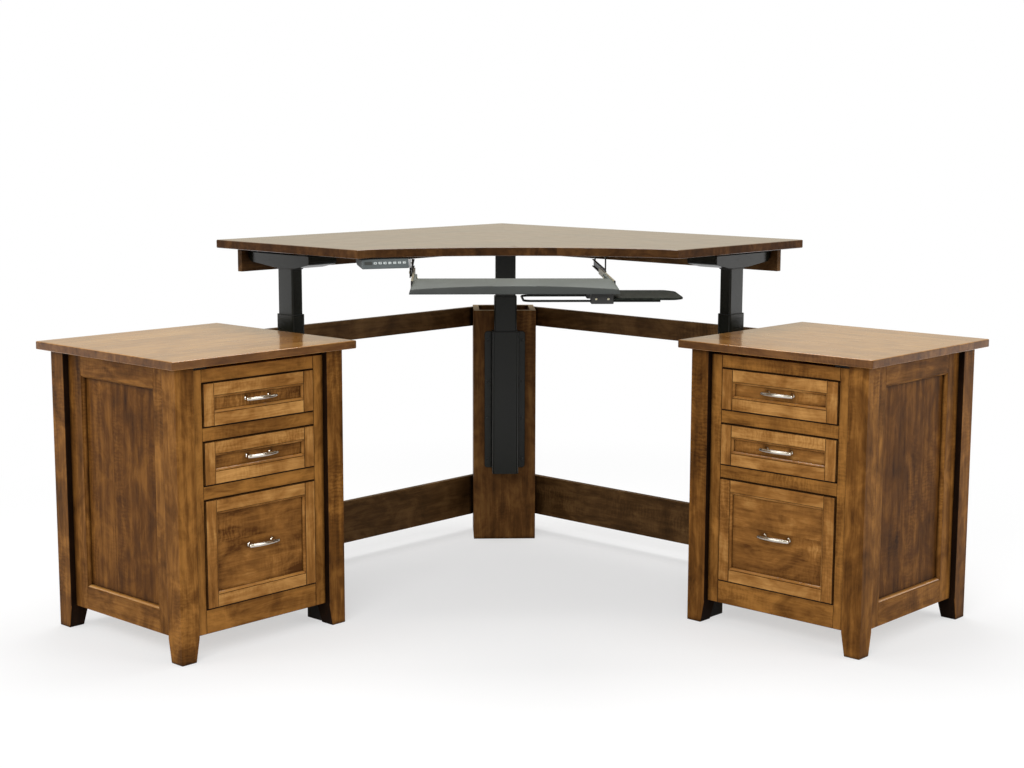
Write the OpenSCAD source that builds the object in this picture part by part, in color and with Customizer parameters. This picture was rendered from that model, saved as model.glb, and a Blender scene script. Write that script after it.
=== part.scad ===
// Corner desk whose top rises on three telescopic columns, with two drawer pedestals beside it.
// Millimetres. X runs to the right, Y away from the user, Z up. The floor is z = 0.
// Each wing has its own directions: u runs out along the wing from the back corner, v runs
// from the wing's rear edge to its front edge. The right wing is the left one in a mirror.

/* [Desktop] */
// Length of each wing's rear edge, from the back corner
wing_len = 1219.2; // [1100:1:1600]
// Depth of each wing
wing_depth = 609.6; // [580:1:700]
// Height of the desktop's upper face as shown
desk_height = 1027; // [1015:1:1060]
// Thickness of the desktop
top_thick = 24; // [18:1:32]
// Length of the straight stretch of front edge beside each near corner
facet_len = 50; // [20:1:90]
// Depth of the shallow scoop in the front edge
scoop = 77; // [50:1:95]
// Height of the rear apron boards
apron_h = 72; // [50:1:90]
// Thickness of the rear apron boards
apron_t = 19; // [12:1:22]
// Distance from the desktop's rear edge to the apron boards
apron_inset = 10; // [4:1:12]
// Distance from the wing's outer end to the end of its apron board
apron_end = 70; // [40:1:120]

/* [Frame] */
// Width of the corner post
post_w = 203.2; // [190:0.1:210]
// Depth of the corner post
post_d = 186; // [160:1:190]
// Height of the corner post and of the end posts
post_h = 762; // [720:1:762]
// Distance from the back corner to the corner post's front face
post_front = 334; // [334:1:350]
// Thickness of the post boards
board_t = 19; // [15:1:22]
// Distance from the desktop's rear edge to the stretchers' rear faces
rail_v = 43.5; // [43.5:0.5:60]
// Thickness of the stretchers
rail_t = 20; // [16:1:24]
// Height of the upper stretchers
upper_rail_h = 62; // [45:1:90]
// Distance from the post's top to the upper stretchers' top
upper_rail_drop = 4; // [0:1:30]
// Height of the lower stretchers
lower_rail_h = 132; // [90:1:160]
// Height of the lower stretchers above the floor
lower_rail_z = 54; // [20:1:90]
// Size of an end post along the wing
end_post_w = 84; // [70:1:84]
// Size of an end post across the wing
end_post_d = 240; // [220:1:260]

/* [Columns] */
// Long side of an outer tube
outer_long = 84; // [80:1:88]
// Short side of an outer tube
outer_short = 58; // [54:1:62]
// Wall of the column tubes
tube_wall = 2; // [1.5:0.1:2.4]
// Running clearance between one tube and the next
tube_gap = 3.7; // [2:0.1:3.7]
// Height of an outer tube's lower end above the floor
outer_z = 233; // [150:1:240]
// Length of an outer tube
outer_len = 468; // [460:1:470]
// Height of a middle tube's top above the outer tube's top
middle_rise = 113; // [113:1:130]
// Length of a middle tube
middle_len = 440; // [400:1:450]
// Length of an inner tube
inner_len = 460; // [430:1:480]
// Distance from a wing's outer end to its column's centre
column_inset = 124.2; // [122:0.1:130]
// Distance from a wing's rear edge to its column's centre
column_v = 182.5; // [175:0.5:190]
// Width of a mounting channel
channel_w = 132; // [120:1:140]
// Length of a mounting channel
channel_len = 452; // [380:1:452]
// How far a mounting channel's top lies below its tube's top
channel_drop = 7; // [0:1:20]
// Thickness of a mounting channel's sheet
channel_t = 3; // [2:0.5:4]

/* [Motor housings] */
// Length of a motor housing
housing_len = 268; // [260:1:272]
// Width of a motor housing
housing_w = 106; // [96:1:106]
// Height of a motor housing at its thickest
housing_h = 38.5; // [36:0.5:40]
// Length of a motor housing's sloping nose
housing_nose = 116; // [90:1:120]
// Sheet thickness of a motor housing
housing_t = 2; // [1.5:0.1:3]
// Thickness of the pads between housing and desktop
pad_t = 14.5; // [10:0.5:15]
// Depth of the plastic collar under a housing
collar_h = 5; // [3:1:6]

/* [Pedestals] */
// Gap between the desktop's end and a pedestal's slab
pedestal_gap = 3; // [2:1:40]
// Width of a pedestal's slab
slab_w = 607; // [560:1:640]
// Depth of a pedestal's slab
slab_d = 606.6; // [580:0.1:606.6]
// Thickness of a pedestal's slab
slab_t = 22; // [18:1:25]
// Height of a pedestal
pedestal_h = 784; // [778:1:784]
// How far the slab stands out past the legs
overhang = 27.6; // [15:0.1:40]
// Width of a leg
leg_w = 57; // [50:1:64]
// Width of a leg at the floor
leg_foot = 46; // [40:1:48]
// Height of the frames above the floor
case_z = 62; // [50:1:80]
// Distance from a leg's face back to the frame's face
reveal = 16; // [8:1:20]
// Thickness of the frames
frame_t = 20; // [18:1:22]
// Width of the side frames' stiles and rails
stile_w = 57.5; // [45:0.5:65]
// Depth of a side panel below its frame's face
panel_sink = 12; // [9:1:12]
// Thickness of the flat panels
panel_t = 6; // [5:1:6]
// Width of the stiles of the face frame
face_stile = 35; // [28:1:40]
// Height of the rails between drawers
face_rail = 35.5; // [28:0.5:38]
// Height of the face frame's lowest rail
bottom_rail = 63.5; // [50:0.5:70]
// Shadow gap between the face frame and the slab
shadow_gap = 12; // [8:1:16]
// Thickness of the pedestal floor
floor_t = 12; // [9:1:15]

/* [Drawers] */
// Height of the two upper drawers' openings
small_drawer_h = 115.5; // [100:0.5:118]
// Gap around a drawer front
front_gap = 2; // [1.5:0.1:3]
// Thickness of a drawer front
front_t = 20; // [18:1:22]
// How far a drawer front stands out of the face frame
front_proud = 4; // [2:1:6]
// Width of the frame of a drawer front
front_frame = 36; // [28:1:38]
// Depth of the flat field in a drawer front
front_sink = 8.5; // [5:0.5:10]
// Length of a drawer's box
box_len = 457; // [400:1:460]
// Thickness of a drawer's sides
box_t = 12; // [10:1:14]
// Thickness of a drawer's bottom
box_bottom_t = 6; // [4:1:8]
// Space for the slide on each side of a drawer
slide_space = 12.7; // [12:0.1:14]
// Height of a slide member
slide_h = 36; // [30:1:40]
// Running clearance in a slide
slide_gap = 0.5; // [0.3:0.1:0.8]

/* [Handles] */
// Distance between a handle's posts
handle_centres = 76.2; // [64:0.1:96]
// Length of a handle
handle_len = 102; // [98:1:120]
// Distance from the drawer's field to the middle of the bow
handle_reach = 22; // [20:1:36]
// Rise of the bow between its ends and its middle
bow_rise = 7; // [5:1:10]
// Thickness of the bow
bow_d = 12; // [8:0.5:14]
// Diameter of a handle's posts
handle_post_d = 9; // [6:1:11]

/* [Keypad] */
// Width of the keypad's case
keypad_w = 135; // [120:1:150]
// Height of the keypad's case
keypad_h = 27; // [24:1:30]
// Depth of the keypad's case
keypad_d = 60; // [45:1:80]
// Distance from the desk's middle line to the keypad's middle
keypad_x = 358; // [330:1:360]
// Lean of the keypad's face
keypad_lean = 12; // [8:1:16]
// Distance between neighbouring buttons
button_pitch = 13.8; // [12:0.1:15]
// Width of a button
button_w = 9; // [7:0.5:10]
// Height of a button
button_h = 6.5; // [5:0.5:8]
// How far a button moves when pressed
button_travel = 1; // [0.6:0.1:1.2]

/* [Keyboard tray] */
// Distance from the desk's middle line to the tray's middle, to the left
tray_shift = 21; // [0:1:30]
// Width of the tray between its slides
tray_w = 516; // [480:1:560]
// Width of the palm rest
palm_w = 534; // [520:1:545]
// Depth of the tray
tray_d = 310; // [280:1:330]
// Distance from the back corner to the tray's front edge, pulled out
tray_front = 1600; // [1560:1:1640]
// Distance from the desktop's underside down to the tray's underside
tray_drop = 66; // [61:1:71]
// Thickness of the tray's bed
tray_bed = 6; // [5:1:8]
// Height of the palm rest's crest above the tray's underside
palm_h = 33; // [26:1:36]
// Height of the palm rest's front lip above the tray's underside
lip_h = 12; // [10:1:14]
// Depth of the palm rest
palm_d = 95; // [80:1:110]
// Height of the tray's slides
tray_slide_h = 22; // [18:1:24]
// Length of the tray's fixed slides
tray_slide_len = 360; // [340:1:380]
// Distance from the back corner to the fixed slides' front ends
tray_slide_front = 1150; // [1140:1:1160]
// Width of a hanger's leg
hanger_leg = 16; // [12:1:22]

/* [Mouse platform] */
// Width of the platform
platform_w = 180; // [160:1:220]
// Depth of the platform
platform_d = 215; // [180:1:230]
// Thickness of the platform
platform_t = 6; // [5:1:8]
// How far the platform's edge lies under the tray
platform_tuck = 5; // [0:1:12]
// Length of the arm's bars under the platform
bar_reach = 120; // [90:1:150]
// Thickness of the wire arm
wire_d = 6; // [5:1:6]
// Distance between the arm's two bars, centre to centre
wire_pitch = 143; // [120:1:150]
// Height of the arm's centre below the tray's underside
wire_drop = 20; // [18:1:24]
// Width of the guide that the arm slides in
guide_w = 58; // [50:1:66]

/* [Hidden] */
$fn = 48;

LEFT = 0;
CENTRE = 1;
RIGHT = 2;

// Clearance of pieces that lie side by side without touching
air = 0.3;
// Overlap that lets a cut pass through a face
cut = 1;
root2 = sqrt(2);

// Desktop
under_z = desk_height - top_thick;
run_end = wing_len + pedestal_gap + slab_w;
// The origin is on the floor under the middle of the whole desk
shift_y = (run_end + slab_d) / root2 / 2;
facet_x = (wing_len - facet_len - wing_depth) / root2;
facet_y = (wing_len - facet_len + wing_depth) / root2;
near_x = (wing_len - wing_depth) / root2;
near_y = (wing_len + wing_depth) / root2;
tip_xy = wing_len / root2;
scoop_r = (facet_x * facet_x + scoop * scoop) / (2 * scoop);
scoop_y = facet_y - scoop + scoop_r;

// Frame
post_back = post_front - post_d;
end_post_u = wing_len - end_post_w;
upper_rail_z = post_h - upper_rail_drop - upper_rail_h;

// Columns, each drawn upright about its own axis: x is its long side, +y faces its mounting board
outer_top = outer_z + outer_len;
middle_long = outer_long - 2 * (tube_wall + tube_gap);
middle_short = outer_short - 2 * (tube_wall + tube_gap);
inner_long = middle_long - 2 * (tube_wall + tube_gap / 2);
inner_short = middle_short - 2 * (tube_wall + tube_gap / 2);
middle_top = outer_top + middle_rise;
middle_z = middle_top - middle_len;
housing_top = under_z - pad_t;
housing_z = housing_top - housing_h;
inner_top = housing_z + 12;
inner_z = inner_top - inner_len;
column_u = wing_len - column_inset;
mount_y = end_post_u - column_u;
centre_col_y = post_front + mount_y;
channel_top = outer_top - channel_drop;
channel_z = channel_top - channel_len;
tube_back = outer_short / 2;
channel_face = mount_y - channel_t;

// Motor housings: long side along x, the column passes at x = 0
housing_a = 148.5;
housing_b = housing_len - housing_a;
housing_y0 = -housing_w + channel_face - 5;

// Pedestals
slab_u = wing_len + pedestal_gap;
leg_u0 = slab_u + overhang;
leg_u1 = slab_u + slab_w - overhang;
leg_v0 = overhang;
leg_v1 = slab_d - overhang;
slab_z = pedestal_h - slab_t;
frame_u0 = leg_u0 + reveal;
frame_u1 = leg_u1 - reveal;
frame_v0 = leg_v0 + reveal;
face_v = leg_v1 - reveal;
face_t = frame_t + 2;
inner_u0 = leg_u0 + leg_w;
inner_u1 = leg_u1 - leg_w;
inner_v0 = leg_v0 + leg_w;
inner_v1 = leg_v1 - leg_w;
open_u0 = inner_u0 + face_stile;
open_u1 = inner_u1 - face_stile;
face_top = slab_z - shadow_gap;
open_top = face_top - face_rail + 0.5;
open_mid = open_top - small_drawer_h - face_rail;
open_low = open_mid - small_drawer_h - face_rail;
open_bottom = case_z + bottom_rail;
drawer_tops = [open_top, open_mid, open_low];
drawer_heights = [small_drawer_h, small_drawer_h, open_low - open_bottom];
front_v = face_v + front_proud;
field_v = front_v - front_sink;
box_v1 = front_v - front_t;
box_v0 = box_v1 - box_len;
slide_t = (slide_space - slide_gap) / 2;

// Keypad, in a frame on the desktop's scooped edge
keypad_turn = asin(keypad_x / scoop_r);
keypad_y = scoop_y - scoop_r * cos(keypad_turn);
keypad_proud = 6;
button_lift = 1.2;
button_body = 5;

// Tray
tray_z = under_z - tray_drop;
tray_x = -tray_shift;
slide_x = tray_w / 2;
tray_slide_t = 6;
tray_slide_z = tray_z + tray_bed;
hanger_x = slide_x + 2 * tray_slide_t + slide_gap;
hanger_t = 3;
wire_z = tray_z - wire_drop;
wire_left = tray_x + 24;
platform_x = tray_x + tray_w / 2 - platform_tuck;
guide_x = platform_x - guide_w - air;
wire_y = 1490;
guide_h = wire_drop + wire_d / 2 + 4;
guide_hole = wire_d / 2 + air;

// World places
module seat() {
    translate([0, shift_y, 0])
        children();
}

module left_wing() {
    seat()
        rotate([0, 0, -135])
            children();
}

module right_wing() {
    seat()
        mirror([1, 0, 0])
            rotate([0, 0, -135])
                children();
}

module wing(side) {
    if (side == LEFT) left_wing() children();
    if (side == RIGHT) right_wing() children();
}

// A column's own axes: the side ones stand against the end posts, the centre one against the corner post
module column_place(side) {
    if (side == CENTRE)
        seat() translate([0, -centre_col_y, 0]) children();
    else
        wing(side) translate([column_u, column_v, 0]) rotate([0, 0, -90]) children();
}

module box(p, q) {
    translate(p)
        cube(q - p);
}

module tube(long, short, wall, z0, z1) {
    difference() {
        box([-long / 2, -short / 2, z0], [long / 2, short / 2, z1]);
        box([-long / 2 + wall, -short / 2 + wall, z0 - cut], [long / 2 - wall, short / 2 - wall, z1 + cut]);
    }
}

// Frame
module corner_post() {
    half = post_w / 2;
    color("sienna")
        seat()
            difference() {
                box([-half, -post_front, 0], [half, -post_back, post_h]);
                box(
                    [-half + board_t, -post_front + board_t, -cut],
                    [half - board_t, -post_back - board_t, post_h + cut]
                );
            }
}

module stretcher(side, z, h) {
    // The inner end is cut to lie flat on the corner post's side
    meet = post_w / root2;
    color("saddlebrown")
        wing(side)
            translate([0, 0, z])
                linear_extrude(h)
                    polygon([
                        [rail_v + meet, rail_v],
                        [end_post_u, rail_v],
                        [end_post_u, rail_v + rail_t],
                        [rail_v + rail_t + meet, rail_v + rail_t]
                    ]);
}

module left_upper_stretcher() {
    stretcher(LEFT, upper_rail_z, upper_rail_h);
}

module right_upper_stretcher() {
    stretcher(RIGHT, upper_rail_z, upper_rail_h);
}

module left_lower_stretcher() {
    stretcher(LEFT, lower_rail_z, lower_rail_h);
}

module right_lower_stretcher() {
    stretcher(RIGHT, lower_rail_z, lower_rail_h);
}

module end_post(side) {
    color("sienna")
        wing(side)
            difference() {
                box([end_post_u, rail_v, 0], [wing_len, rail_v + end_post_d, post_h]);
                box([end_post_u + board_t, rail_v + board_t, -cut],
                    [wing_len - board_t, rail_v + end_post_d - board_t, post_h + cut]);
            }
}

module left_end_post() {
    end_post(LEFT);
}

module right_end_post() {
    end_post(RIGHT);
}

// A pressed plate lies on the board; its two folded ribs reach forward to the tube's back
module channel() {
    half = channel_w / 2;
    rib_w = 14;
    rib_x = outer_long / 2 - rib_w;
    lip = 3;
    difference() {
        box([-half, mount_y - channel_t, channel_z], [half, mount_y, channel_top]);
        for (s = [-1, 1])
            for (z = [channel_z + 30, channel_top - 30])
                translate([s * (half - 10), mount_y + cut, z])
                    rotate([90, 0, 0])
                        cylinder(h = channel_t + 2 * cut, d = 6);
    }
    for (s = [-1, 1]) {
        box([min(s * rib_x, s * (rib_x + rib_w)), tube_back, channel_z + lip],
            [max(s * rib_x, s * (rib_x + rib_w)), channel_face, channel_top - lip]);
        box([min(s * (half - 22), s * (half - 19)), tube_back - 4, channel_z + lip],
            [max(s * (half - 22), s * (half - 19)), channel_face, channel_top - lip]);
    }
}

module column_channels() {
    color([0.12, 0.13, 0.12])
        for (side = [LEFT, CENTRE, RIGHT])
            column_place(side)
                channel();
}

module outer_tube(side) {
    color([0.16, 0.17, 0.15])
        column_place(side)
            tube(outer_long, outer_short, tube_wall, outer_z, outer_top);
}

module left_outer_tube() {
    outer_tube(LEFT);
}

module centre_outer_tube() {
    outer_tube(CENTRE);
}

module right_outer_tube() {
    outer_tube(RIGHT);
}

// Glide blocks near a tube's foot keep it centred in the tube around it
module glides(long, short, gap, z) {
    for (s = [-1, 1]) {
        box([min(s * long / 2, s * (long / 2 + gap)), -short / 4, z],
            [max(s * long / 2, s * (long / 2 + gap)), short / 4, z + 30]);
        box([-long / 4, min(s * short / 2, s * (short / 2 + gap)), z],
            [long / 4, max(s * short / 2, s * (short / 2 + gap)), z + 30]);
    }
}

module middle_tubes() {
    color([0.2, 0.21, 0.19])
        for (side = [LEFT, CENTRE, RIGHT])
            column_place(side) {
                tube(middle_long, middle_short, tube_wall, middle_z, middle_top);
                glides(middle_long, middle_short, tube_gap - air, middle_z);
            }
}

module inner_tube(side) {
    color([0.24, 0.25, 0.23])
        column_place(side) {
            tube(inner_long, inner_short, tube_wall, inner_z, inner_top);
            glides(inner_long, inner_short, tube_gap / 2 - air, inner_z);
        }
}

module left_inner_tube() {
    inner_tube(LEFT);
}

module centre_inner_tube() {
    inner_tube(CENTRE);
}

module right_inner_tube() {
    inner_tube(RIGHT);
}

// Motor housings: a folded steel pan, open at the top, with a collar under it around the inner tube
module housing_profile(inset) {
    polygon([
        [-housing_a + inset, housing_top + (inset > 0 ? cut : 0)],
        [-housing_a + inset, housing_top - 16.5 + inset],
        [-housing_a + 12 + inset, housing_top - 27.5 + inset],
        [-housing_a + housing_nose, housing_z + inset],
        [housing_b - 62, housing_z + inset],
        [housing_b - inset, housing_top - 25 + inset],
        [housing_b - inset, housing_top + (inset > 0 ? cut : 0)]
    ]);
}

module housing(side) {
    color([0.1, 0.11, 0.1])
        column_place(side)
            mirror([side == CENTRE ? 0 : 1, 0, 0])
                difference() {
                    union() {
                        translate([0, housing_y0 + housing_w, 0])
                            rotate([90, 0, 0])
                                linear_extrude(housing_w)
                                    housing_profile(0);
                        box([-inner_long / 2 - 3, -inner_short / 2 - 3, housing_z - collar_h],
                            [inner_long / 2 + 3, inner_short / 2 + 3, housing_z]);
                    }
                    translate([0, housing_y0 + housing_w - housing_t, 0])
                        rotate([90, 0, 0])
                            linear_extrude(housing_w - 2 * housing_t)
                                housing_profile(housing_t);
                    box([-inner_long / 2, -inner_short / 2, housing_z - collar_h - cut],
                        [inner_long / 2, inner_short / 2, housing_z + housing_t + cut]);
                    for (x = [-33, 33])
                        translate([x - 18, housing_y0 + housing_w + cut, housing_top - 15])
                            rotate([90, 0, 0])
                                cylinder(h = housing_w + 2 * cut, d = 7);
                }
}

module left_motor_housing() {
    housing(LEFT);
}

module centre_motor_housing() {
    housing(CENTRE);
}

module right_motor_housing() {
    housing(RIGHT);
}

// Pads at the two ends of each housing, between it and the desktop
module housing_spacers() {
    pad_len = 40;
    color([0.08, 0.08, 0.08])
        for (side = [LEFT, CENTRE, RIGHT])
            column_place(side)
                mirror([side == CENTRE ? 0 : 1, 0, 0])
                    for (x = [-housing_a + 6, housing_b - pad_len - 6])
                        box([x, housing_y0, housing_top], [x + pad_len, housing_y0 + housing_w, under_z]);
}

// A gear motor lies along each housing and drives the spindle down the column
module drive_motors() {
    motor_d = 30;
    color([0.3, 0.3, 0.32])
        for (side = [LEFT, CENTRE, RIGHT])
            column_place(side)
                mirror([side == CENTRE ? 0 : 1, 0, 0]) {
                    box([-20, -14, inner_top], [20, 14, housing_top - 3]);
                    translate([-20, 0, (inner_top + housing_top - 3) / 2 + 0.5])
                        rotate([0, -90, 0])
                            cylinder(h = 70, d = min(motor_d, housing_top - 3 - inner_top));
                    translate([0, 0, inner_z + 20])
                        cylinder(h = inner_top - inner_z - 20, d = 12);
                }
}

// Desktop and what hangs under it
module desktop() {
    color("peru")
        seat()
            translate([0, 0, under_z])
                difference() {
                    linear_extrude(top_thick)
                        polygon([
                            [0, 0], [-tip_xy, -tip_xy], [-near_x, -near_y], [-facet_x, -facet_y],
                            [facet_x, -facet_y], [near_x, -near_y], [tip_xy, -tip_xy]
                        ]);
                    translate([0, -scoop_y, -cut])
                        cylinder(h = top_thick + 2 * cut, r = scoop_r, $fn = 200);
                }
}

module aprons() {
    inner_v = apron_inset + apron_t;
    color("saddlebrown")
        for (side = [LEFT, RIGHT])
            wing(side)
                translate([0, 0, under_z - apron_h])
                    linear_extrude(apron_h)
                        polygon([
                            [apron_inset + air / 2, apron_inset],
                            [wing_len - apron_end, apron_inset],
                            [wing_len - apron_end, inner_v],
                            [inner_v + air / 2, inner_v]
                        ]);
}

module control_box() {
    box_u = 560;
    box_v = 95;
    long = 270;
    short = 100;
    high = 36;
    flange = 20;
    inlet_w = 27;
    color([0.12, 0.12, 0.12])
        left_wing()
            difference() {
                union() {
                    box([box_u, box_v, under_z - high], [box_u + long, box_v + short, under_z]);
                    box([box_u - flange, box_v + short / 4, under_z - 4],
                        [box_u + long + flange, box_v + short * 3 / 4, under_z]);
                }
                // Power inlet in the end face
                box(
                    [box_u + long - 14, box_v + 35, under_z - 30],
                    [box_u + long + cut, box_v + 35 + inlet_w, under_z - 11]
                );
            }
}

// Keypad: local x along the desktop's edge, local -y to the user, z = 0 at the desktop's underside
module keypad_place() {
    seat()
        translate([-keypad_x, -keypad_y, under_z])
            rotate([0, 0, keypad_turn])
                children();
}

module keypad_face() {
    // The face's upper edge lies at the origin of this frame, and it leans back as it rises
    translate([0, -keypad_proud + keypad_h * tan(keypad_lean), -3])
        rotate([-keypad_lean, 0, 0])
            children();
}

module keypad_case() {
    back = keypad_d - keypad_proud;
    face_top_y = -keypad_proud + keypad_h * tan(keypad_lean);
    color([0.35, 0.37, 0.37])
        keypad_place()
            difference() {
                union() {
                    translate([-keypad_w / 2, 0, 0])
                        rotate([90, 0, 90])
                            linear_extrude(keypad_w)
                                polygon([
                                    [face_top_y, -3], [-keypad_proud, -keypad_h - 3],
                                    [back - 12, -keypad_h - 3 + 8], [back, -keypad_h + 14], [back, -3]
                                ]);
                    box([-keypad_w / 2 + 10, 20, -3], [keypad_w / 2 - 10, back, 0]);
                }
                for (i = [0:6])
                    keypad_face()
                        translate([(i - 3) * button_pitch + 12, 0, -keypad_h * 0.42])
                            box([-button_w / 2 - air, -cut * 3, -button_h / 2 - air],
                                [button_w / 2 + air, button_body + button_travel + air, button_h / 2 + air]);
            }
}

module keypad_button(i) {
    color([0.85, 0.87, 0.87])
        keypad_place()
            keypad_face()
                translate([(i - 3) * button_pitch + 12, 0, -keypad_h * 0.42])
                    box([-button_w / 2, -button_lift, -button_h / 2],
                        [button_w / 2, button_body, button_h / 2]);
}

module keypad_button_1() {
    keypad_button(0);
}

module keypad_button_2() {
    keypad_button(1);
}

module keypad_button_3() {
    keypad_button(2);
}

module keypad_button_4() {
    keypad_button(3);
}

module keypad_button_5() {
    keypad_button(4);
}

module keypad_button_6() {
    keypad_button(5);
}

module keypad_button_7() {
    keypad_button(6);
}

// Tray hangers: two legs a side, a flange under the desktop, and the fixed slide between the legs
module tray_hanger(s) {
    slide_back = tray_slide_front - tray_slide_len;
    color([0.1, 0.1, 0.1])
        seat()
            translate([tray_x, 0, 0])
                for (y = [tray_slide_front - 6, slide_back + hanger_leg + 10]) {
                    box([min(s * hanger_x, s * (hanger_x + hanger_t)), -y, tray_slide_z - 4],
                        [max(s * hanger_x, s * (hanger_x + hanger_t)), -y + hanger_leg, under_z - hanger_t]);
                    box([min(s * hanger_x, s * (hanger_x + 24)), -y, under_z - hanger_t],
                        [max(s * hanger_x, s * (hanger_x + 24)), -y + hanger_leg, under_z]);
                }
}

module fixed_tray_slide(s) {
    x0 = hanger_x - tray_slide_t;
    color([0.1, 0.1, 0.1])
        seat()
            translate([tray_x, 0, 0])
                box([min(s * x0, s * hanger_x), -tray_slide_front, tray_slide_z],
                    [max(s * x0, s * hanger_x), -tray_slide_front + tray_slide_len, tray_slide_z + tray_slide_h]);
}

module tray_hangers() {
    for (s = [-1, 1]) {
        tray_hanger(s);
        fixed_tray_slide(s);
    }
}

// The moving slide members reach back into the fixed ones and stand on the tray's bed
module tray_slides() {
    x0 = slide_x;
    back = tray_slide_front - 70;
    color([0.75, 0.73, 0.6])
        seat()
            translate([tray_x, 0, 0])
                for (s = [-1, 1])
                    box([min(s * x0, s * (x0 + tray_slide_t)), -tray_front + palm_d + air, tray_slide_z + 2],
                        [max(s * x0, s * (x0 + tray_slide_t)), -back, tray_slide_z + tray_slide_h - 2]);
}

module keyboard_tray() {
    palm_back = tray_front - palm_d;
    wall = 8;
    color([0.4, 0.43, 0.43])
        seat()
            translate([tray_x, 0, tray_z]) {
                box([-slide_x, -palm_back, 0], [slide_x, -tray_front + tray_d, tray_bed]);
                // Side walls that the moving slide members are screwed to
                for (s = [-1, 1])
                    box([min(s * (slide_x - wall), s * slide_x), -palm_back, 0],
                        [max(s * (slide_x - wall), s * slide_x), -tray_front + tray_d, tray_bed + tray_slide_h - 2]);
                // The palm rest falls from its crest to the front lip
                translate([-palm_w / 2, 0, 0])
                    rotate([90, 0, 90])
                        linear_extrude(palm_w)
                            polygon([
                                [-tray_front, 0], [-palm_back, 0], [-palm_back, palm_h - 2],
                                [-palm_back - 6, palm_h], [-palm_back - 30, palm_h - 1],
                                [-palm_back - 62, palm_h - 8], [-tray_front + 6, lip_h + 3], [-tray_front, lip_h]
                            ]);
            }
}

// The guide is screwed under the tray and both bars of the wire arm slide in it
module rod_guide() {
    half = wire_pitch / 2;
    color([0.07, 0.07, 0.07])
        seat()
            difference() {
                box(
                    [guide_x, -wire_y - half - 12, tray_z - guide_h],
                    [guide_x + guide_w, -wire_y + half + 12, tray_z]
                );
                for (s = [-1, 1])
                    translate([guide_x - cut, -wire_y + s * half, wire_z])
                        rotate([0, 90, 0])
                            cylinder(h = guide_w + 2 * cut, r = guide_hole);
                box([guide_x - cut, -wire_y - half + 14, tray_z - guide_h - cut],
                    [guide_x + guide_w + cut, -wire_y + half - 14, tray_z - 6]);
            }
}

module platform_rod() {
    half = wire_pitch / 2;
    bend = 22;
    bar_end = platform_x + bar_reach;
    color([0.07, 0.07, 0.07])
        seat()
            translate([0, -wire_y, wire_z]) {
                for (s = [-1, 1]) {
                    translate([wire_left + bend, s * half, 0])
                        rotate([0, 90, 0])
                            cylinder(h = bar_end - wire_left - bend, d = wire_d);
                    translate([wire_left + bend, s * (half - bend), 0])
                        rotate([0, 0, s > 0 ? 90 : 180])
                            rotate_extrude(angle = 90)
                                translate([bend, 0])
                                    circle(d = wire_d);
                }
                translate([wire_left, -half + bend, 0])
                    rotate([-90, 0, 0])
                        cylinder(h = 2 * (half - bend), d = wire_d);
            }
}

// The platform lies on the bars; a rib under its front edge stiffens it
module mouse_platform() {
    z0 = wire_z + wire_d / 2;
    edge = 12;
    color([0.09, 0.09, 0.09])
        seat()
            translate([platform_x, -wire_y - platform_d / 2 + 20, z0])
                linear_extrude(platform_t)
                    polygon([
                        [0, 0], [platform_w - 2 * edge, 0],
                        [platform_w, 2 * edge], [platform_w, platform_d - 3 * edge],
                        [platform_w - 2 * edge, platform_d], [0, platform_d]
                    ]);
}

// Pedestals
module pedestal_top(side) {
    color("peru")
        wing(side)
            box([slab_u, 0, slab_z], [slab_u + slab_w, slab_d, pedestal_h]);
}

module left_pedestal_top() {
    pedestal_top(LEFT);
}

module right_pedestal_top() {
    pedestal_top(RIGHT);
}

// A square leg whose two inner sides draw in below the frames; s and t point into the pedestal
module leg(u, v, s, t) {
    translate([u, v, 0])
        facing(s, t)
            intersection() {
                box([0, 0, 0], [leg_w, leg_w, slab_z]);
                rotate([90, 0, 0])
                    translate([0, 0, -leg_w - cut])
                        linear_extrude(leg_w + 2 * cut)
                            polygon([[0, 0], [leg_foot, 0], [leg_w, case_z], [leg_w, slab_z], [0, slab_z]]);
                rotate([90, 0, 90])
                    translate([0, 0, -cut])
                        linear_extrude(leg_w + 2 * cut)
                            polygon([[0, 0], [leg_foot, 0], [leg_w, case_z], [leg_w, slab_z], [0, slab_z]]);
            }
}

module facing(s, t) {
    mirror([s < 0 ? 1 : 0, 0, 0])
        mirror([0, t < 0 ? 1 : 0, 0])
            children();
}

module pedestal_legs(side) {
    color("sienna")
        wing(side) {
            leg(leg_u0, leg_v0, 1, 1);
            leg(leg_u1, leg_v0, -1, 1);
            leg(leg_u0, leg_v1, 1, -1);
            leg(leg_u1, leg_v1, -1, -1);
        }
}

module left_pedestal_legs() {
    pedestal_legs(LEFT);
}

module right_pedestal_legs() {
    pedestal_legs(RIGHT);
}

// A frame with a flat panel, drawn with its outer face at y = 0 and its body behind it, in +y
module panel_frame(w, top) {
    low = case_z;
    difference() {
        box([0, 0, low], [w, frame_t, top]);
        box([stile_w, -cut, low + stile_w + 4.5], [w - stile_w, panel_sink, top - stile_w - 3]);
        box(
            [stile_w, panel_sink + panel_t, low + stile_w + 4.5],
            [w - stile_w, frame_t + cut, top - stile_w - 3]
        );
    }
}

module pedestal_panels(side) {
    side_w = inner_v1 - inner_v0;
    back_w = inner_u1 - inner_u0;
    color("sienna")
        wing(side) {
            translate([frame_u1, inner_v0, 0])
                rotate([0, 0, 90])
                    panel_frame(side_w, slab_z);
            translate([frame_u0, inner_v1, 0])
                rotate([0, 0, -90])
                    panel_frame(side_w, slab_z);
            translate([inner_u0, frame_v0, 0])
                panel_frame(back_w, slab_z);
        }
}

module left_pedestal_panels() {
    pedestal_panels(LEFT);
}

module right_pedestal_panels() {
    pedestal_panels(RIGHT);
}

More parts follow.
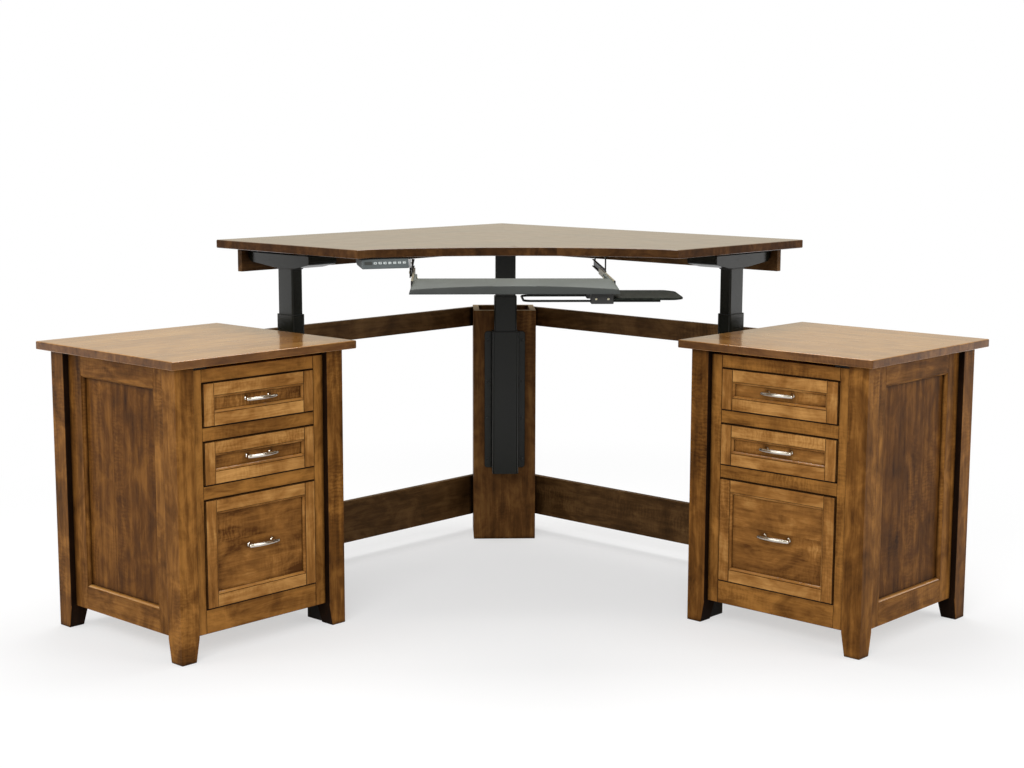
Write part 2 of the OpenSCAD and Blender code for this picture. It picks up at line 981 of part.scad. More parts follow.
module face_frame(side) {
    color("sienna")
        wing(side)
            difference() {
                box([inner_u0, face_v - face_t, case_z], [inner_u1, face_v, face_top]);
                for (i = [0:2])
                    box([open_u0, face_v - face_t - cut, drawer_tops[i] - drawer_heights[i]],
                        [open_u1, face_v + cut, drawer_tops[i]]);
            }
}

module left_face_frame() {
    face_frame(LEFT);
}

module right_face_frame() {
    face_frame(RIGHT);
}

// The floor fits between the frames and round the legs
module pedestal_floors() {
    z1 = case_z + bottom_rail - 2;
    color("burlywood")
        for (side = [LEFT, RIGHT])
            wing(side)
                difference() {
                    box(
                        [frame_u0 + frame_t, frame_v0 + frame_t, z1 - floor_t],
                        [frame_u1 - frame_t, face_v - face_t, z1]
                    );
                    for (u = [leg_u0, leg_u1 - leg_w])
                        for (v = [leg_v0, leg_v1 - leg_w])
                            box([u, v, z1 - floor_t - cut], [u + leg_w, v + leg_w, z1 + cut]);
                }
}

function slide_z(i) = drawer_tops[i] - drawer_heights[i] / 2 - slide_h / 2;

// Fixed slide members run from the back frame to the edges of the face frame's openings
module drawer_runners() {
    color([0.7, 0.72, 0.75])
        for (side = [LEFT, RIGHT])
            wing(side)
                for (i = [0:2]) {
                    box(
                        [open_u0, frame_v0 + frame_t, slide_z(i)],
                        [open_u0 + slide_t, box_v1 - 1, slide_z(i) + slide_h]
                    );
                    box(
                        [open_u1 - slide_t, frame_v0 + frame_t, slide_z(i)],
                        [open_u1, box_v1 - 1, slide_z(i) + slide_h]
                    );
                }
}

// A black foot under the inner side frame's front stile, and a small black block in the shadow gap
module pedestal_blocks() {
    block_w = 48;
    foot_t = frame_t + 3;
    color([0.05, 0.05, 0.05])
        for (side = [LEFT, RIGHT])
            wing(side) {
                box([frame_u0, inner_v1 - stile_w, 0], [frame_u0 + foot_t, inner_v1, case_z]);
                box(
                    [inner_u1 - 6 - block_w, face_v - face_t, face_top],
                    [inner_u1 - 6, face_v - 3, slab_z]
                );
            }
}

// Drawers
module drawer(side, i) {
    z0 = drawer_tops[i] - drawer_heights[i];
    z1 = drawer_tops[i];
    u0 = open_u0 + front_gap;
    u1 = open_u1 - front_gap;
    f = front_frame - front_gap;
    bu0 = open_u0 + slide_space;
    bu1 = open_u1 - slide_space;
    bz0 = z0 + 12;
    bz1 = z1 - 14;
    color("peru")
        wing(side) {
            difference() {
                box([u0, box_v1, z0 + front_gap], [u1, front_v, z1 - front_gap]);
                box([u0 + f, field_v, z0 + front_gap + f], [u1 - f, front_v + cut, z1 - front_gap - f]);
            }
            difference() {
                box([bu0, box_v0, bz0], [bu1, box_v1, bz1]);
                box(
                    [bu0 + box_t, box_v0 + box_t, bz0 + box_bottom_t],
                    [bu1 - box_t, box_v1 - box_t, bz1 + cut]
                );
            }
            for (u = [bu0 - slide_t, bu1])
                box([u, box_v0, slide_z(i) + 2], [u + slide_t, box_v1 - 2, slide_z(i) + slide_h - 2]);
        }
}

module left_top_drawer() {
    drawer(LEFT, 0);
}

module left_middle_drawer() {
    drawer(LEFT, 1);
}

module left_bottom_drawer() {
    drawer(LEFT, 2);
}

module right_top_drawer() {
    drawer(RIGHT, 0);
}

module right_middle_drawer() {
    drawer(RIGHT, 1);
}

module right_bottom_drawer() {
    drawer(RIGHT, 2);
}

// A bow handle on two posts, at the middle of the drawer's field
module handle(side, i) {
    uc = (open_u0 + open_u1) / 2;
    zc = drawer_tops[i] - drawer_heights[i] / 2 + 3;
    half = handle_len / 2;
    bow_r = (half * half + bow_rise * bow_rise) / (2 * bow_rise);
    bow_centre = handle_reach - bow_r;
    bow_turn = asin(half / bow_r);
    post_x = handle_centres / 2;
    post_end = bow_centre + sqrt(bow_r * bow_r - post_x * post_x);
    color("silver")
        wing(side)
            translate([uc, field_v, zc]) {
                translate([0, bow_centre, 0])
                    rotate([0, 0, 90 - bow_turn])
                        rotate_extrude(angle = 2 * bow_turn)
                            translate([bow_r, 0])
                                circle(d = bow_d);
                for (s = [-1, 1])
                    translate([s * post_x, 0, 0])
                        rotate([-90, 0, 0]) {
                            cylinder(h = post_end, d = handle_post_d);
                            cylinder(h = 4, d1 = handle_post_d + 6, d2 = handle_post_d);
                        }
            }
}

module left_top_handle() {
    handle(LEFT, 0);
}

module left_middle_handle() {
    handle(LEFT, 1);
}

module left_bottom_handle() {
    handle(LEFT, 2);
}

module right_top_handle() {
    handle(RIGHT, 0);
}

module right_middle_handle() {
    handle(RIGHT, 1);
}

module right_bottom_handle() {
    handle(RIGHT, 2);
}

corner_post();
left_upper_stretcher();
right_upper_stretcher();
left_lower_stretcher();
right_lower_stretcher();
left_end_post();
right_end_post();
column_channels();
left_outer_tube();
centre_outer_tube();
right_outer_tube();
middle_tubes();
left_inner_tube();
centre_inner_tube();
right_inner_tube();
left_motor_housing();
centre_motor_housing();
right_motor_housing();
housing_spacers();
drive_motors();
desktop();
aprons();
control_box();
keypad_case();
keypad_button_1();
keypad_button_2();
keypad_button_3();
keypad_button_4();
keypad_button_5();
keypad_button_6();
keypad_button_7();
tray_hangers();
tray_slides();
keyboard_tray();
rod_guide();
platform_rod();
mouse_platform();
left_pedestal_top();
right_pedestal_top();
left_pedestal_legs();
right_pedestal_legs();
left_pedestal_panels();
right_pedestal_panels();
left_face_frame();
right_face_frame();
pedestal_floors();
drawer_runners();
pedestal_blocks();
left_top_drawer();
left_middle_drawer();
left_bottom_drawer();
right_top_drawer();
right_middle_drawer();
right_bottom_drawer();
left_top_handle();
left_middle_handle();
left_bottom_handle();
right_top_handle();
right_middle_handle();
right_bottom_handle();
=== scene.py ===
# %% [markdown]
# # A corner desk in stained maple
# The desk has an angled top that rises on three steel columns, a pull-out keyboard tray, and a
# chest of three drawers beside each wing. Its solids are packed already, and this lesson dresses
# them. They are loaded first, so that all that follows shares their metres and moving bodies.

import bpy
import bmesh
import math
import random
from mathutils import Matrix, Vector


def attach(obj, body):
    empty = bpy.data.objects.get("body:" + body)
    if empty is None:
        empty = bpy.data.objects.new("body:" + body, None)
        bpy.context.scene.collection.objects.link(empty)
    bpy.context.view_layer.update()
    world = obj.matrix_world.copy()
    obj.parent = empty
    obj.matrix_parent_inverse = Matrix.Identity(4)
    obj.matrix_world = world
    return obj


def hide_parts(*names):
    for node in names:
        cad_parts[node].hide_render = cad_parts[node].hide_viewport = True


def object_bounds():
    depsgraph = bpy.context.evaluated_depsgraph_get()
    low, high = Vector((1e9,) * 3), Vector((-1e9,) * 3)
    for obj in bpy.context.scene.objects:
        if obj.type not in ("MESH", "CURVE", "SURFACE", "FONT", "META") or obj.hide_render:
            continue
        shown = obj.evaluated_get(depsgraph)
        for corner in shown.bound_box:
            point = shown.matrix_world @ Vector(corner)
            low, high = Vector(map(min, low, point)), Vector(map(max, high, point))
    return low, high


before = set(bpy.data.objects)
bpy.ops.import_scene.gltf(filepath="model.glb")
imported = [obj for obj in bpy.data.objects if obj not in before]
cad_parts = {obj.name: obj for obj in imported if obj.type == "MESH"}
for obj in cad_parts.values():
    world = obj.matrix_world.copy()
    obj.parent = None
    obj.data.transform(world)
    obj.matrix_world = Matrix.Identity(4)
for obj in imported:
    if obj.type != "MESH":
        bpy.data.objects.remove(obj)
cad_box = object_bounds()
scene = bpy.context.scene
print("the desk's box in metres:", cad_box)

# %% [markdown]
# The camera stands a little left of the middle, 1.36 m up and 6 m in front of the back corner. It
# could be aimed with a tracking constraint, but three plain turns say the solved angles outright.

# %% Set up the camera
MM = 0.001
back_corner_y = cad_box[1][1]
camera_place = Vector((-0.2053, back_corner_y - 5.9401, 1.3602))
yaw, pitch, roll = 2.341, 8.521, 0.160
camera_data = bpy.data.cameras.new("studio_camera")
camera_data.sensor_width = 36.0
camera_data.lens = 60.81


def turned(degrees, axis):
    return Matrix.Rotation(math.radians(degrees), 4, axis)


def put_in_scene(name, data):
    thing = bpy.data.objects.new(name, data)
    scene.collection.objects.link(thing)
    return thing


camera = put_in_scene("studio_camera", camera_data)
aim = turned(-yaw, "Z") @ turned(90 - pitch, "X") @ turned(roll, "Z")
camera.matrix_world = Matrix.Translation(camera_place) @ aim
scene.camera = camera
print("camera at", tuple(round(c, 3) for c in camera_place))

# %% [markdown]
# A helper keeps the finishes short: each call adds one node, sets or links its sockets, and gives
# back what comes out of it. Writing each graph out by hand would repeat the same lines.

# %% Node helper
class Graph:
    """The nodes of one material or world."""

    def __init__(self, owner):
        owner.use_nodes = True
        self.tree = owner.node_tree
        self.tree.nodes.clear()

    def add(self, kind, values=None, out=0, **settings):
        node = self.tree.nodes.new("ShaderNode" + kind)
        for key, value in settings.items():
            setattr(node, key, value)
        for key, value in (values or {}).items():
            if isinstance(value, bpy.types.NodeSocket):
                self.tree.links.new(value, node.inputs[key])
            else:
                node.inputs[key].default_value = value
        return node.outputs[out] if node.outputs else node

    def math(self, operation, a, b=0.0, c=0.0):
        return self.add("Math", {0: a, 1: b, 2: c}, operation=operation)

    def scaled(self, vector, factors):
        return self.add("VectorMath", {0: vector, 1: factors}, operation="MULTIPLY")

    def noise(self, vector, scale, detail, roughness=0.5, distortion=0.0):
        values = {"Vector": vector, "Scale": scale, "Detail": detail}
        values.update({"Roughness": roughness, "Distortion": distortion})
        return self.add("TexNoise", values)

    def remap(self, value, low=0.0, high=1.0, to_low=0.0, to_high=1.0, **settings):
        values = {"Value": value, "From Min": low, "From Max": high}
        values.update({"To Min": to_low, "To Max": to_high})
        return self.add("MapRange", values, **settings)

    def ramp(self, factor, stops):
        colour = self.add("ValToRGB", {"Fac": factor}, "Color")
        elements = colour.node.color_ramp.elements
        while len(elements) < len(stops):
            elements.new(0.5)
        for element, (place, shade) in zip(elements, stops):
            element.position = place
            element.color = (*shade, 1.0)
        return colour

    def darkened(self, factor, colour, shade):
        return self.add("Mix", {0: factor, 6: colour, 7: (*shade, 1.0)}, 2, data_type="RGBA")

    def blend(self, factor, first, second):
        return self.add("MixShader", {0: factor, 1: first, 2: second})

    def white(self, kind, strength, colour=(1, 1, 1, 1)):
        return self.add(kind, {"Color": colour, "Strength": strength})

    def finish(self, shader, kind="Material"):
        self.add("Output" + kind, {"Surface": shader})


def srgb(colour):
    """A colour as a picture shows it, 0 to 255, as the linear values that shaders use."""
    shares = [c / 255 for c in colour]
    return tuple(c / 12.92 if c <= 0.04045 else ((c + 0.055) / 1.055) ** 2.4 for c in shares)


print("node helper ready")

# %% [markdown]
# Studio: large soft lamps in front and above, a weaker and a small one at each side, and a pale
# world. The matt white floor takes the desk's soft shadow. A curved backdrop would hide the
# horizon too, but here the floor simply shades into the white of the world.

# %% Light the studio
LAMPS = {
    "front_lamp": ((-1.2, -5.2, 3.6), (0, -0.2, 0.5), (3.4, 2.2), 150),
    "left_lamp": ((-4.6, -2.2, 2.6), (-0.6, -0.2, 0.5), (2.4, 2.4), 50),
    "right_lamp": ((4.6, -2.6, 2.8), (0.6, -0.2, 0.5), (2.4, 2.4), 66),
    "left_strip": ((-4.2, 0.6, 0.8), (-0.9, -0.3, 0.7), (0.9, 1.6), 10),
    "right_strip": ((4.2, 0.6, 0.8), (0.9, -0.3, 0.7), (0.9, 1.6), 10),
    "top_lamp": ((0.0, 0.6, 3.6), (0, -0.1, 0.8), (3.0, 2.0), 90),
}
for name, (place, target, size, watts) in LAMPS.items():
    data = bpy.data.lights.new(name, "AREA")
    data.shape = "RECTANGLE"
    data.size, data.size_y = size
    data.energy = watts
    lamp = put_in_scene(name, data)
    lamp.location = place
    lamp.rotation_euler = (Vector(target) - lamp.location).to_track_quat("-Z", "Y").to_euler()

scene.world = bpy.data.worlds.new("studio")
sky = Graph(scene.world)
ray = sky.add("LightPath").node.outputs
seen = sky.math("MAXIMUM", ray["Is Camera Ray"], ray["Is Transmission Ray"])
in_gloss = sky.white("Background", 0.62, (1.0, 0.92, 0.74, 1))
unseen = sky.blend(ray["Is Glossy Ray"], sky.white("Background", 0.4), in_gloss)
sky.finish(sky.blend(seen, unseen, sky.white("Background", 1.0)), "World")

floor_reach, floor_drop = 30.0, 0.0005
floor_mesh = bpy.data.meshes.new("studio_floor")
square = ((-1, -1), (1, -1), (1, 1), (-1, 1))
floor_mesh.from_pydata([(x * floor_reach, y * floor_reach, 0) for x, y in square], [], [range(4)])
floor = put_in_scene("studio_floor", floor_mesh)
floor.location.z = -floor_drop
floor_paint = bpy.data.materials.new("floor_paint")
paint = Graph(floor_paint)
spot = paint.add("TexCoord", out="Object")
far = paint.add("VectorMath", {0: spot}, "Value", operation="LENGTH")
fade = paint.remap(far, 1.1, 2.5, 0.55, interpolation_type="SMOOTHSTEP")
fade = paint.math("MULTIPLY", fade, paint.add("LightPath", out="Is Camera Ray"))
matt = paint.add("BsdfDiffuse", {"Color": (0.93, 0.93, 0.93, 1)})
paint.finish(paint.blend(fade, matt, paint.white("Emission", 1.0)))
floor_mesh.materials.append(floor_paint)
scene.view_settings.view_transform = "Standard"
print("lamps:", list(LAMPS))

# %% [markdown]
# On the real desk a brown stain soaks unevenly into the maple: it blotches, darkens the pores and
# leaves a faint curl across the grain. An image couldn't follow each board, so the pattern is
# computed from the board's own coordinates, x along the grain, y across, z through. Every board
# writes them as an attribute called grain, and one called tone sets it off from its neighbours.

# %% Stained maple
def stained_maple(name, dark, middle, light, roughness=0.48, coat=0.0, coat_roughness=0.2,
                  curl=0.22, blotch=1.0, hollow_shade=0.95, shine=0.06):
    dark, middle, light = srgb(dark), srgb(middle), srgb(light)
    finish = bpy.data.materials.new(name)
    wood = Graph(finish)
    grain = wood.add("Attribute", out="Vector", attribute_name="grain", attribute_type="GEOMETRY")
    tone = wood.add("Attribute", out="Fac", attribute_name="tone", attribute_type="GEOMETRY")

    def noise(stretch, detail, rough=0.55, distortion=0.0):
        return wood.noise(wood.scaled(grain, stretch), 1.0, detail, rough, distortion)

    def bands(stretch, axis, distortion, detail_scale, detail_rough):
        values = {
            "Vector": wood.scaled(grain, stretch), "Scale": 1.0, "Distortion": distortion,
            "Detail": 3.0, "Detail Scale": detail_scale, "Detail Roughness": detail_rough,
        }
        return wood.add("TexWave", values, "Fac", wave_type="BANDS", bands_direction=axis)

    def centred(value, share, onto, centre=0.5):
        return wood.math("MULTIPLY_ADD", wood.math("SUBTRACT", value, centre), share, onto)

    fibre = noise((8, 300, 300), 6.0, 0.65)
    streak = noise((1.3, 46, 46), 4.0, 0.6, 0.4)
    cloud = noise((8, 11, 11), 5.0, 0.62, 0.8)
    flame = noise((5, 30, 30), 3.0, 0.6, 2.6)
    rings = bands((0.9, 9, 9), "Y", 9.0, 1.3, 0.6)
    curls = bands((26, 15, 15), "X", 11.0, 1.6, 0.65)
    value = centred(fibre, 0.34, 0.5)
    shares = (0.34, 1.2 * blotch, 0.55 * blotch, 0.12)
    for part, share in zip((streak, cloud, flame, rings), shares):
        value = centred(part, share, value)
    curl_here = wood.math("MULTIPLY", wood.remap(noise((3.0, 9, 9), 2.0), 0.5, 0.78), curl)
    value = wood.math("ADD", centred(curls, curl_here, value, 0.55), tone)
    colour = wood.ramp(value, [(0.1, dark), (0.5, middle), (0.92, light)])

    pores = wood.remap(noise((30, 1300, 1300), 2.0), 0.62, 0.72)
    # This dark colour darkens the pores, which is real stain, and also the painted shade below.
    stain_and_shade = tuple(c * 0.3 for c in dark)
    colour = wood.darkened(wood.math("MULTIPLY", pores, 0.3), colour, stain_and_shade)
    # Painted shade: ambient occlusion darkens creases, gaps and inner corners, where shadow falls.
    hollow = wood.add("AmbientOcclusion", {"Distance": 0.014}, "AO", samples=4)
    colour = wood.darkened(wood.remap(hollow, 0.94, 0.42, 0.0, hollow_shade), colour, stain_and_shade)

    rough = wood.remap(noise((22, 26, 26), 3.0), to_low=roughness - 0.06, to_high=roughness + 0.08)
    height = wood.math("MULTIPLY_ADD", fibre, 0.6, wood.math("MULTIPLY", cloud, 0.5))
    bump = wood.add("Bump", {"Strength": 0.09, "Distance": 0.0005, "Height": height})
    wood.finish(wood.add("BsdfPrincipled", {
        "Base Color": colour, "Roughness": rough, "Normal": bump, "Specular IOR Level": shine,
        "Coat Weight": coat, "Coat Roughness": coat_roughness,
    }))
    return finish


maple_top = stained_maple(
    "maple_top", (50, 31, 16), (88, 58, 32), (124, 88, 52), 0.3, 0.75, 0.1,
    blotch=0.6, hollow_shade=0.5, shine=0.5)
maple_slab = stained_maple(
    "maple_slab", (108, 66, 24), (164, 110, 47), (202, 150, 78), 0.28, 0.7, 0.08,
    blotch=0.6, hollow_shade=0.5, shine=0.45)
maple_edge = stained_maple("maple_edge", (38, 22, 9), (68, 43, 21), (100, 68, 36))
maple_case = stained_maple("maple_case", (46, 25, 6), (104, 66, 26), (158, 108, 50))
maple_panel = stained_maple("maple_panel", (42, 22, 5), (88, 53, 17), (134, 88, 36))
maple_frame = stained_maple("maple_frame", (42, 27, 12), (82, 57, 31), (122, 90, 54))
maple_post = stained_maple("maple_post", (46, 27, 10), (90, 58, 27), (134, 94, 50))
maple_drawer = stained_maple("maple_drawer", (78, 46, 16), (140, 94, 44), (192, 142, 80))
slab_edge = stained_maple(
    "slab_edge", (58, 32, 10), (98, 62, 28), (134, 92, 48), coat=0.1, shine=0.2)
# Near black: dark glaze and painted shade on arrises by the gaps, and painted shade on the legs'
# inner faces.
glaze_and_shade = stained_maple("glaze_and_shade", (14, 8, 4), (28, 16, 8), (44, 27, 14), hollow_shade=0.4)
end_grain = stained_maple(
    "end_grain", (150, 118, 80), (206, 178, 136), (230, 210, 172), curl=0.0, blotch=0.4, hollow_shade=0.1)
drawer_birch = stained_maple(
    "drawer_birch", (160, 122, 80), (196, 160, 112), (222, 192, 148), 0.5,
    curl=0.1, blotch=0.5, hollow_shade=0.3)
print("wood finishes:", len([m for m in bpy.data.materials if m is not floor_paint]))

# %% [markdown]
# The columns have a fine-textured powder coat, the handles are polished nickel, the slides zinc
# plated, and the tray a moulded grey plastic with an eggshell grain. One colour each would be
# quicker, but an even surface looks like no material, so all get a small noise of their own.

# %% Metal and plastic finishes
def textured(name, dark, light, roughness, grain_size, bump_strength, patch=6.0,
             stretch=(1, 1, 1), spread=0.08, metallic=0.0, shine=0.5):
    finish = bpy.data.materials.new(name)
    skin = Graph(finish)
    place = skin.scaled(skin.add("TexCoord", out="Object"), stretch)
    patches = skin.noise(place, patch, 5.0, 0.6)
    fine = skin.noise(place, 1.0 / grain_size, 2.0)
    bump = skin.add("Bump", {"Strength": bump_strength, "Distance": 0.0003, "Height": fine})
    skin.finish(skin.add("BsdfPrincipled", {
        "Base Color": skin.ramp(patches, [(0.3, srgb(dark)), (0.7, srgb(light))]),
        "Roughness": skin.remap(patches, to_low=roughness - spread, to_high=roughness + spread),
        "Normal": bump, "Metallic": metallic, "Specular IOR Level": shine,
    }))
    return finish


black_powder = textured(
    "black_powder", (10, 12, 9), (22, 24, 17), 0.24, 0.0011, 0.22, spread=0.05, shine=0.26)
black_plastic = textured("black_plastic", (22, 22, 22), (36, 36, 36), 0.5, 0.0009, 0.2)
polished_nickel = textured(
    "polished_nickel", (196, 190, 180), (226, 220, 210), 0.12, 0.004, 0.03, 30,
    spread=0.04, metallic=1.0)
zinc = textured(
    "zinc", (186, 180, 156), (222, 216, 192), 0.3, 0.003, 0.06, 24, (4, 0.6, 4), metallic=1.0)
tray_plastic = textured("tray_plastic", (60, 66, 62), (82, 88, 84), 0.5, 0.0010, 0.25, shine=0.35)
tray_dark = textured("tray_dark", (38, 42, 40), (52, 56, 54), 0.55, 0.0010, 0.25)
keypad_plastic = textured("keypad_plastic", (70, 78, 80), (88, 96, 98), 0.42, 0.0008, 0.15)
white_plastic = textured("white_plastic", (176, 184, 184), (200, 207, 206), 0.4, 0.0008, 0.05)
black_rubber = textured("black_rubber", (14, 14, 14), (28, 27, 26), 0.75, 0.002, 0.4)
dark_board = textured("dark_board", (6, 8, 6), (40, 44, 38), 0.6, 0.0006, 0.3, 90, shine=0.08)
motor_paint = textured("motor_paint", (60, 60, 64), (84, 84, 88), 0.45, 0.001, 0.2)
print("finishes in all:", len(bpy.data.materials))

# %% [markdown]
# The wings stand at 45 degrees to the room. Their pieces could be drawn slanting, but they are
# easier to give in the wing's own directions: u out along it, v from its rear edge to its front,
# z up, in millimetres. One matrix turns them, and the right wing is the same in a mirror.

# %% Place of each wing
sides = ("left", "right")
nowhere = Matrix.Identity(4)
mirrored = Matrix.Scale(-1, 4, (1, 0, 0))
into_room = Matrix.Translation((0, back_corner_y, 0)) @ Matrix.Scale(MM, 4)
wing_turn = {"left": turned(-135, "Z"), "right": mirrored @ turned(-135, "Z")}
wings = {side: into_room @ wing_turn[side] for side in sides}
wing_long = 1219.2
print("left wing's tip:", tuple(round(c, 3) for c in wings["left"] @ Vector((wing_long, 0, 0))))

# %% [markdown]
# A workbench for meshes: each call adds one part to a piece and notes its grain direction, tone
# and finish. Modifiers could soften the arrises, but the grain coordinates would have to survive
# them, so each part is bevelled first.

# %% Workbench for pieces
GRAIN_ORDER = {"x": (0, 1, 2), "y": (1, 0, 2), "z": (2, 0, 1)}
dice = random.Random(7)


class Piece:
    """One piece of the desk: parts are added in millimetres, then it is placed and made to ride."""

    def __init__(self, name, place=nowhere):
        self.name, self.place = name, place
        self.verts, self.faces, self.grain, self.tone = [], [], [], []
        self.finishes, self.finish_of = [], []

    def take(self, part, finish, along="x", tone=None, local=nowhere, other=None):
        """Adds a bmesh part; other is (second finish, test of a face's direction for it)."""
        second, belongs = other or (finish, lambda way: False)
        for each in (finish, second):
            if each not in self.finishes:
                self.finishes.append(each)
        shift = Vector((dice.uniform(0, 40), dice.uniform(0, 40), dice.uniform(0, 40)))
        tone = dice.uniform(-0.07, 0.07) if tone is None else tone
        start = len(self.verts)
        whole = self.place @ local
        part.normal_update()
        part.verts.index_update()
        for v in part.verts:
            on_board = Vector([v.co[axis] for axis in GRAIN_ORDER[along]])
            self.grain.extend(on_board * MM + shift)
            self.tone.append(tone)
            self.verts.append(whole @ v.co)
        flip = -1 if whole.determinant() < 0 else 1
        for f in part.faces:
            self.faces.append([start + v.index for v in f.verts][::flip])
            self.finish_of.append(self.finishes.index(second if belongs(f.normal) else finish))
        part.free()

    def board(self, low, high, finish, along="x", ease=1.0, steps=2, **more):
        """Adds a board between two corners."""
        self.take(block(low, high, ease, steps), finish, along, **more)

    def screws(self, places, diameter, height, **turn):
        """Adds screw heads of one size at a list of places."""
        for place in places:
            self.take(screw_head(diameter, height), zinc, "z", local=lay(*place, **turn))

    def make(self, body, node, slot, smooth=35):
        """Builds the mesh; it rides on a body and stands for a node. The slot is not used."""
        mesh = bpy.data.meshes.new(self.name)
        mesh.from_pydata(self.verts, [], self.faces)
        for finish in self.finishes:
            mesh.materials.append(finish)
        mesh.polygons.foreach_set("material_index", self.finish_of)
        mesh.attributes.new("grain", "FLOAT_VECTOR", "POINT").data.foreach_set("vector", self.grain)
        mesh.attributes.new("tone", "FLOAT", "POINT").data.foreach_set("value", self.tone)
        mesh.shade_smooth()
        mesh.set_sharp_from_angle(angle=math.radians(smooth))
        mesh.validate()
        piece = put_in_scene(self.name, mesh)
        piece.modifiers.new("crisp_flats", "WEIGHTED_NORMAL").keep_sharp = True
        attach(piece, body)
        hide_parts(node)


print("grain runs along:", list(GRAIN_ORDER))

# %% [markdown]
# The parts come from a few shapes: a skin over rings of points, an outline raised to a height, a
# board, and a part turned on a lathe. Stretched cubes and cylinders could do for some of them,
# but their arrises would stay knife sharp or round unevenly.

# %% Workbench for parts
def skinned(rings, around_again=False):
    """A closed skin over rings of points; its ends are capped, or joined into a loop."""
    part = bmesh.new()
    rings = [[part.verts.new(point) for point in ring] for ring in rings]
    if around_again:
        rings.append(rings[0])
    else:
        part.faces.new(rings[0][::-1])
        part.faces.new(rings[-1])
    count = len(rings[0])
    for a, b in zip(rings, rings[1:]):
        for n in range(count):
            m = (n + 1) % count
            part.faces.new((a[n], a[m], b[m], b[n]))
    bmesh.ops.recalc_face_normals(part, faces=part.faces)
    return part


def arrises(part, angle=30):
    return [e for e in part.edges if e.calc_face_angle(0) > math.radians(angle)]


def soften(part, edges, ease, steps=2):
    """Rounds edges of a part."""
    bmesh.ops.bevel(part, geom=edges, offset=ease, segments=steps, profile=0.5,
                    affect="EDGES", clamp_overlap=True)
    return part


def prism(outline, low, high, ease=0.0, steps=2):
    """An outline in x, y, raised from low to high; its arrises are rounded by ease."""
    part = skinned([[(x, y, z) for x, y in outline] for z in (low, high)])
    return soften(part, arrises(part), ease, steps) if ease > 0 else part


def block(low, high, ease=1.0, steps=2):
    """A board between two opposite corners."""
    (x0, x1), (y0, y1), (z0, z1) = (sorted(pair) for pair in zip(low, high))
    return prism([(x0, y0), (x1, y0), (x1, y1), (x0, y1)], z0, z1, ease, steps)


def on_circle(radius, turn):
    return radius * math.cos(turn), radius * math.sin(turn)


def rounded(width, depth, radius, steps=5):
    """A rectangle about the middle with round corners, as points in order."""
    points = []
    for cx, cy, start in ((1, 1, 0), (-1, 1, 90), (-1, -1, 180), (1, -1, 270)):
        for k in range(steps + 1):
            x, y = on_circle(radius, math.radians(start + 90 * k / steps))
            points.append((cx * (width / 2 - radius) + x, cy * (depth / 2 - radius) + y))
    return points


def spun(profile, around=24):
    """A turned part about the z axis, from (radius, height) points."""
    part = bmesh.new()
    rings = []
    for radius, height in profile:
        count = 1 if radius < 1e-6 else around
        spots = (on_circle(radius, 2 * math.pi * k / around) for k in range(count))
        rings.append([part.verts.new((x, y, height)) for x, y in spots])
    for a, b in zip(rings, rings[1:]):
        for k in range(around):
            m = (k + 1) % around
            ring = (a[k % len(a)], a[m % len(a)], b[m % len(b)], b[k % len(b)])
            ring = tuple(dict.fromkeys(ring))
            if len(ring) > 2:
                part.faces.new(ring)
    for ends in (rings[0], rings[-1]):
        if len(ends) > 2:
            part.faces.new(ends)
    bmesh.ops.recalc_face_normals(part, faces=part.faces)
    return part


def lined(way):
    """Whether a face belongs to a rounded arris, going by its direction."""
    return max(abs(way.x), abs(way.y), abs(way.z)) < 0.96


def lay(x=0, y=0, z=0, turn=0, tip=0, roll=0):
    """A matrix: roll about x, tip about y, turn about z (degrees), then move (mm)."""
    return Matrix.Translation((x, y, z)) @ turned(turn, "Z") @ turned(tip, "Y") @ turned(roll, "X")


def screw_head(diameter, height):
    r, sunk = diameter / 2, height * 0.35
    socket = [(0, sunk), (r * 0.28, sunk), (r * 0.34, height), (r * 0.7, height)]
    return spun(socket + [(r, sunk), (r, 0), (0, 0)], 20)


print("a screw head has", len(screw_head(9, 1.6).verts), "points")

# %% [markdown]
# A real top is glued up from planks, and its wings meet on a mitre line in the corner. It could be
# modelled plank by plank, but then the softened edge would have to match from one to the next.
# Here one slab gets its rounded arrises first and is then sawn along the glue lines.

# %% Saw a slab into planks
def saw(part, cuts):
    """Cuts a part along planes given as (point, normal) without taking anything away."""
    for point, normal in cuts:
        everything = part.verts[:] + part.edges[:] + part.faces[:]
        bmesh.ops.bisect_plane(part, geom=everything, plane_co=point, plane_no=normal)


def planks(part, key):
    """Sorts the faces of a part into boards by a key of the face's middle."""
    piles = {}
    for face in part.faces:
        piles.setdefault(key(face.calc_center_median()), []).append(face)
    boards = {}
    for name, faces in sorted(piles.items()):
        board, made = bmesh.new(), {}
        for face in faces:
            for v in face.verts:
                if v not in made:
                    made[v] = board.verts.new(v.co)
            board.faces.new([made[v] for v in face.verts])
        boards[name] = board
    part.free()
    return boards


def rim(way):
    """Whether a face of a slab belongs to its edge."""
    return abs(way.z) < 0.5


print("saw and plank sorter ready")

# %% [markdown]
# The front edge is scooped to an arc between the wings, so that one can sit in the corner. The
# arc could be cut out of the slab, but an outline that has it keeps an even rounded edge.

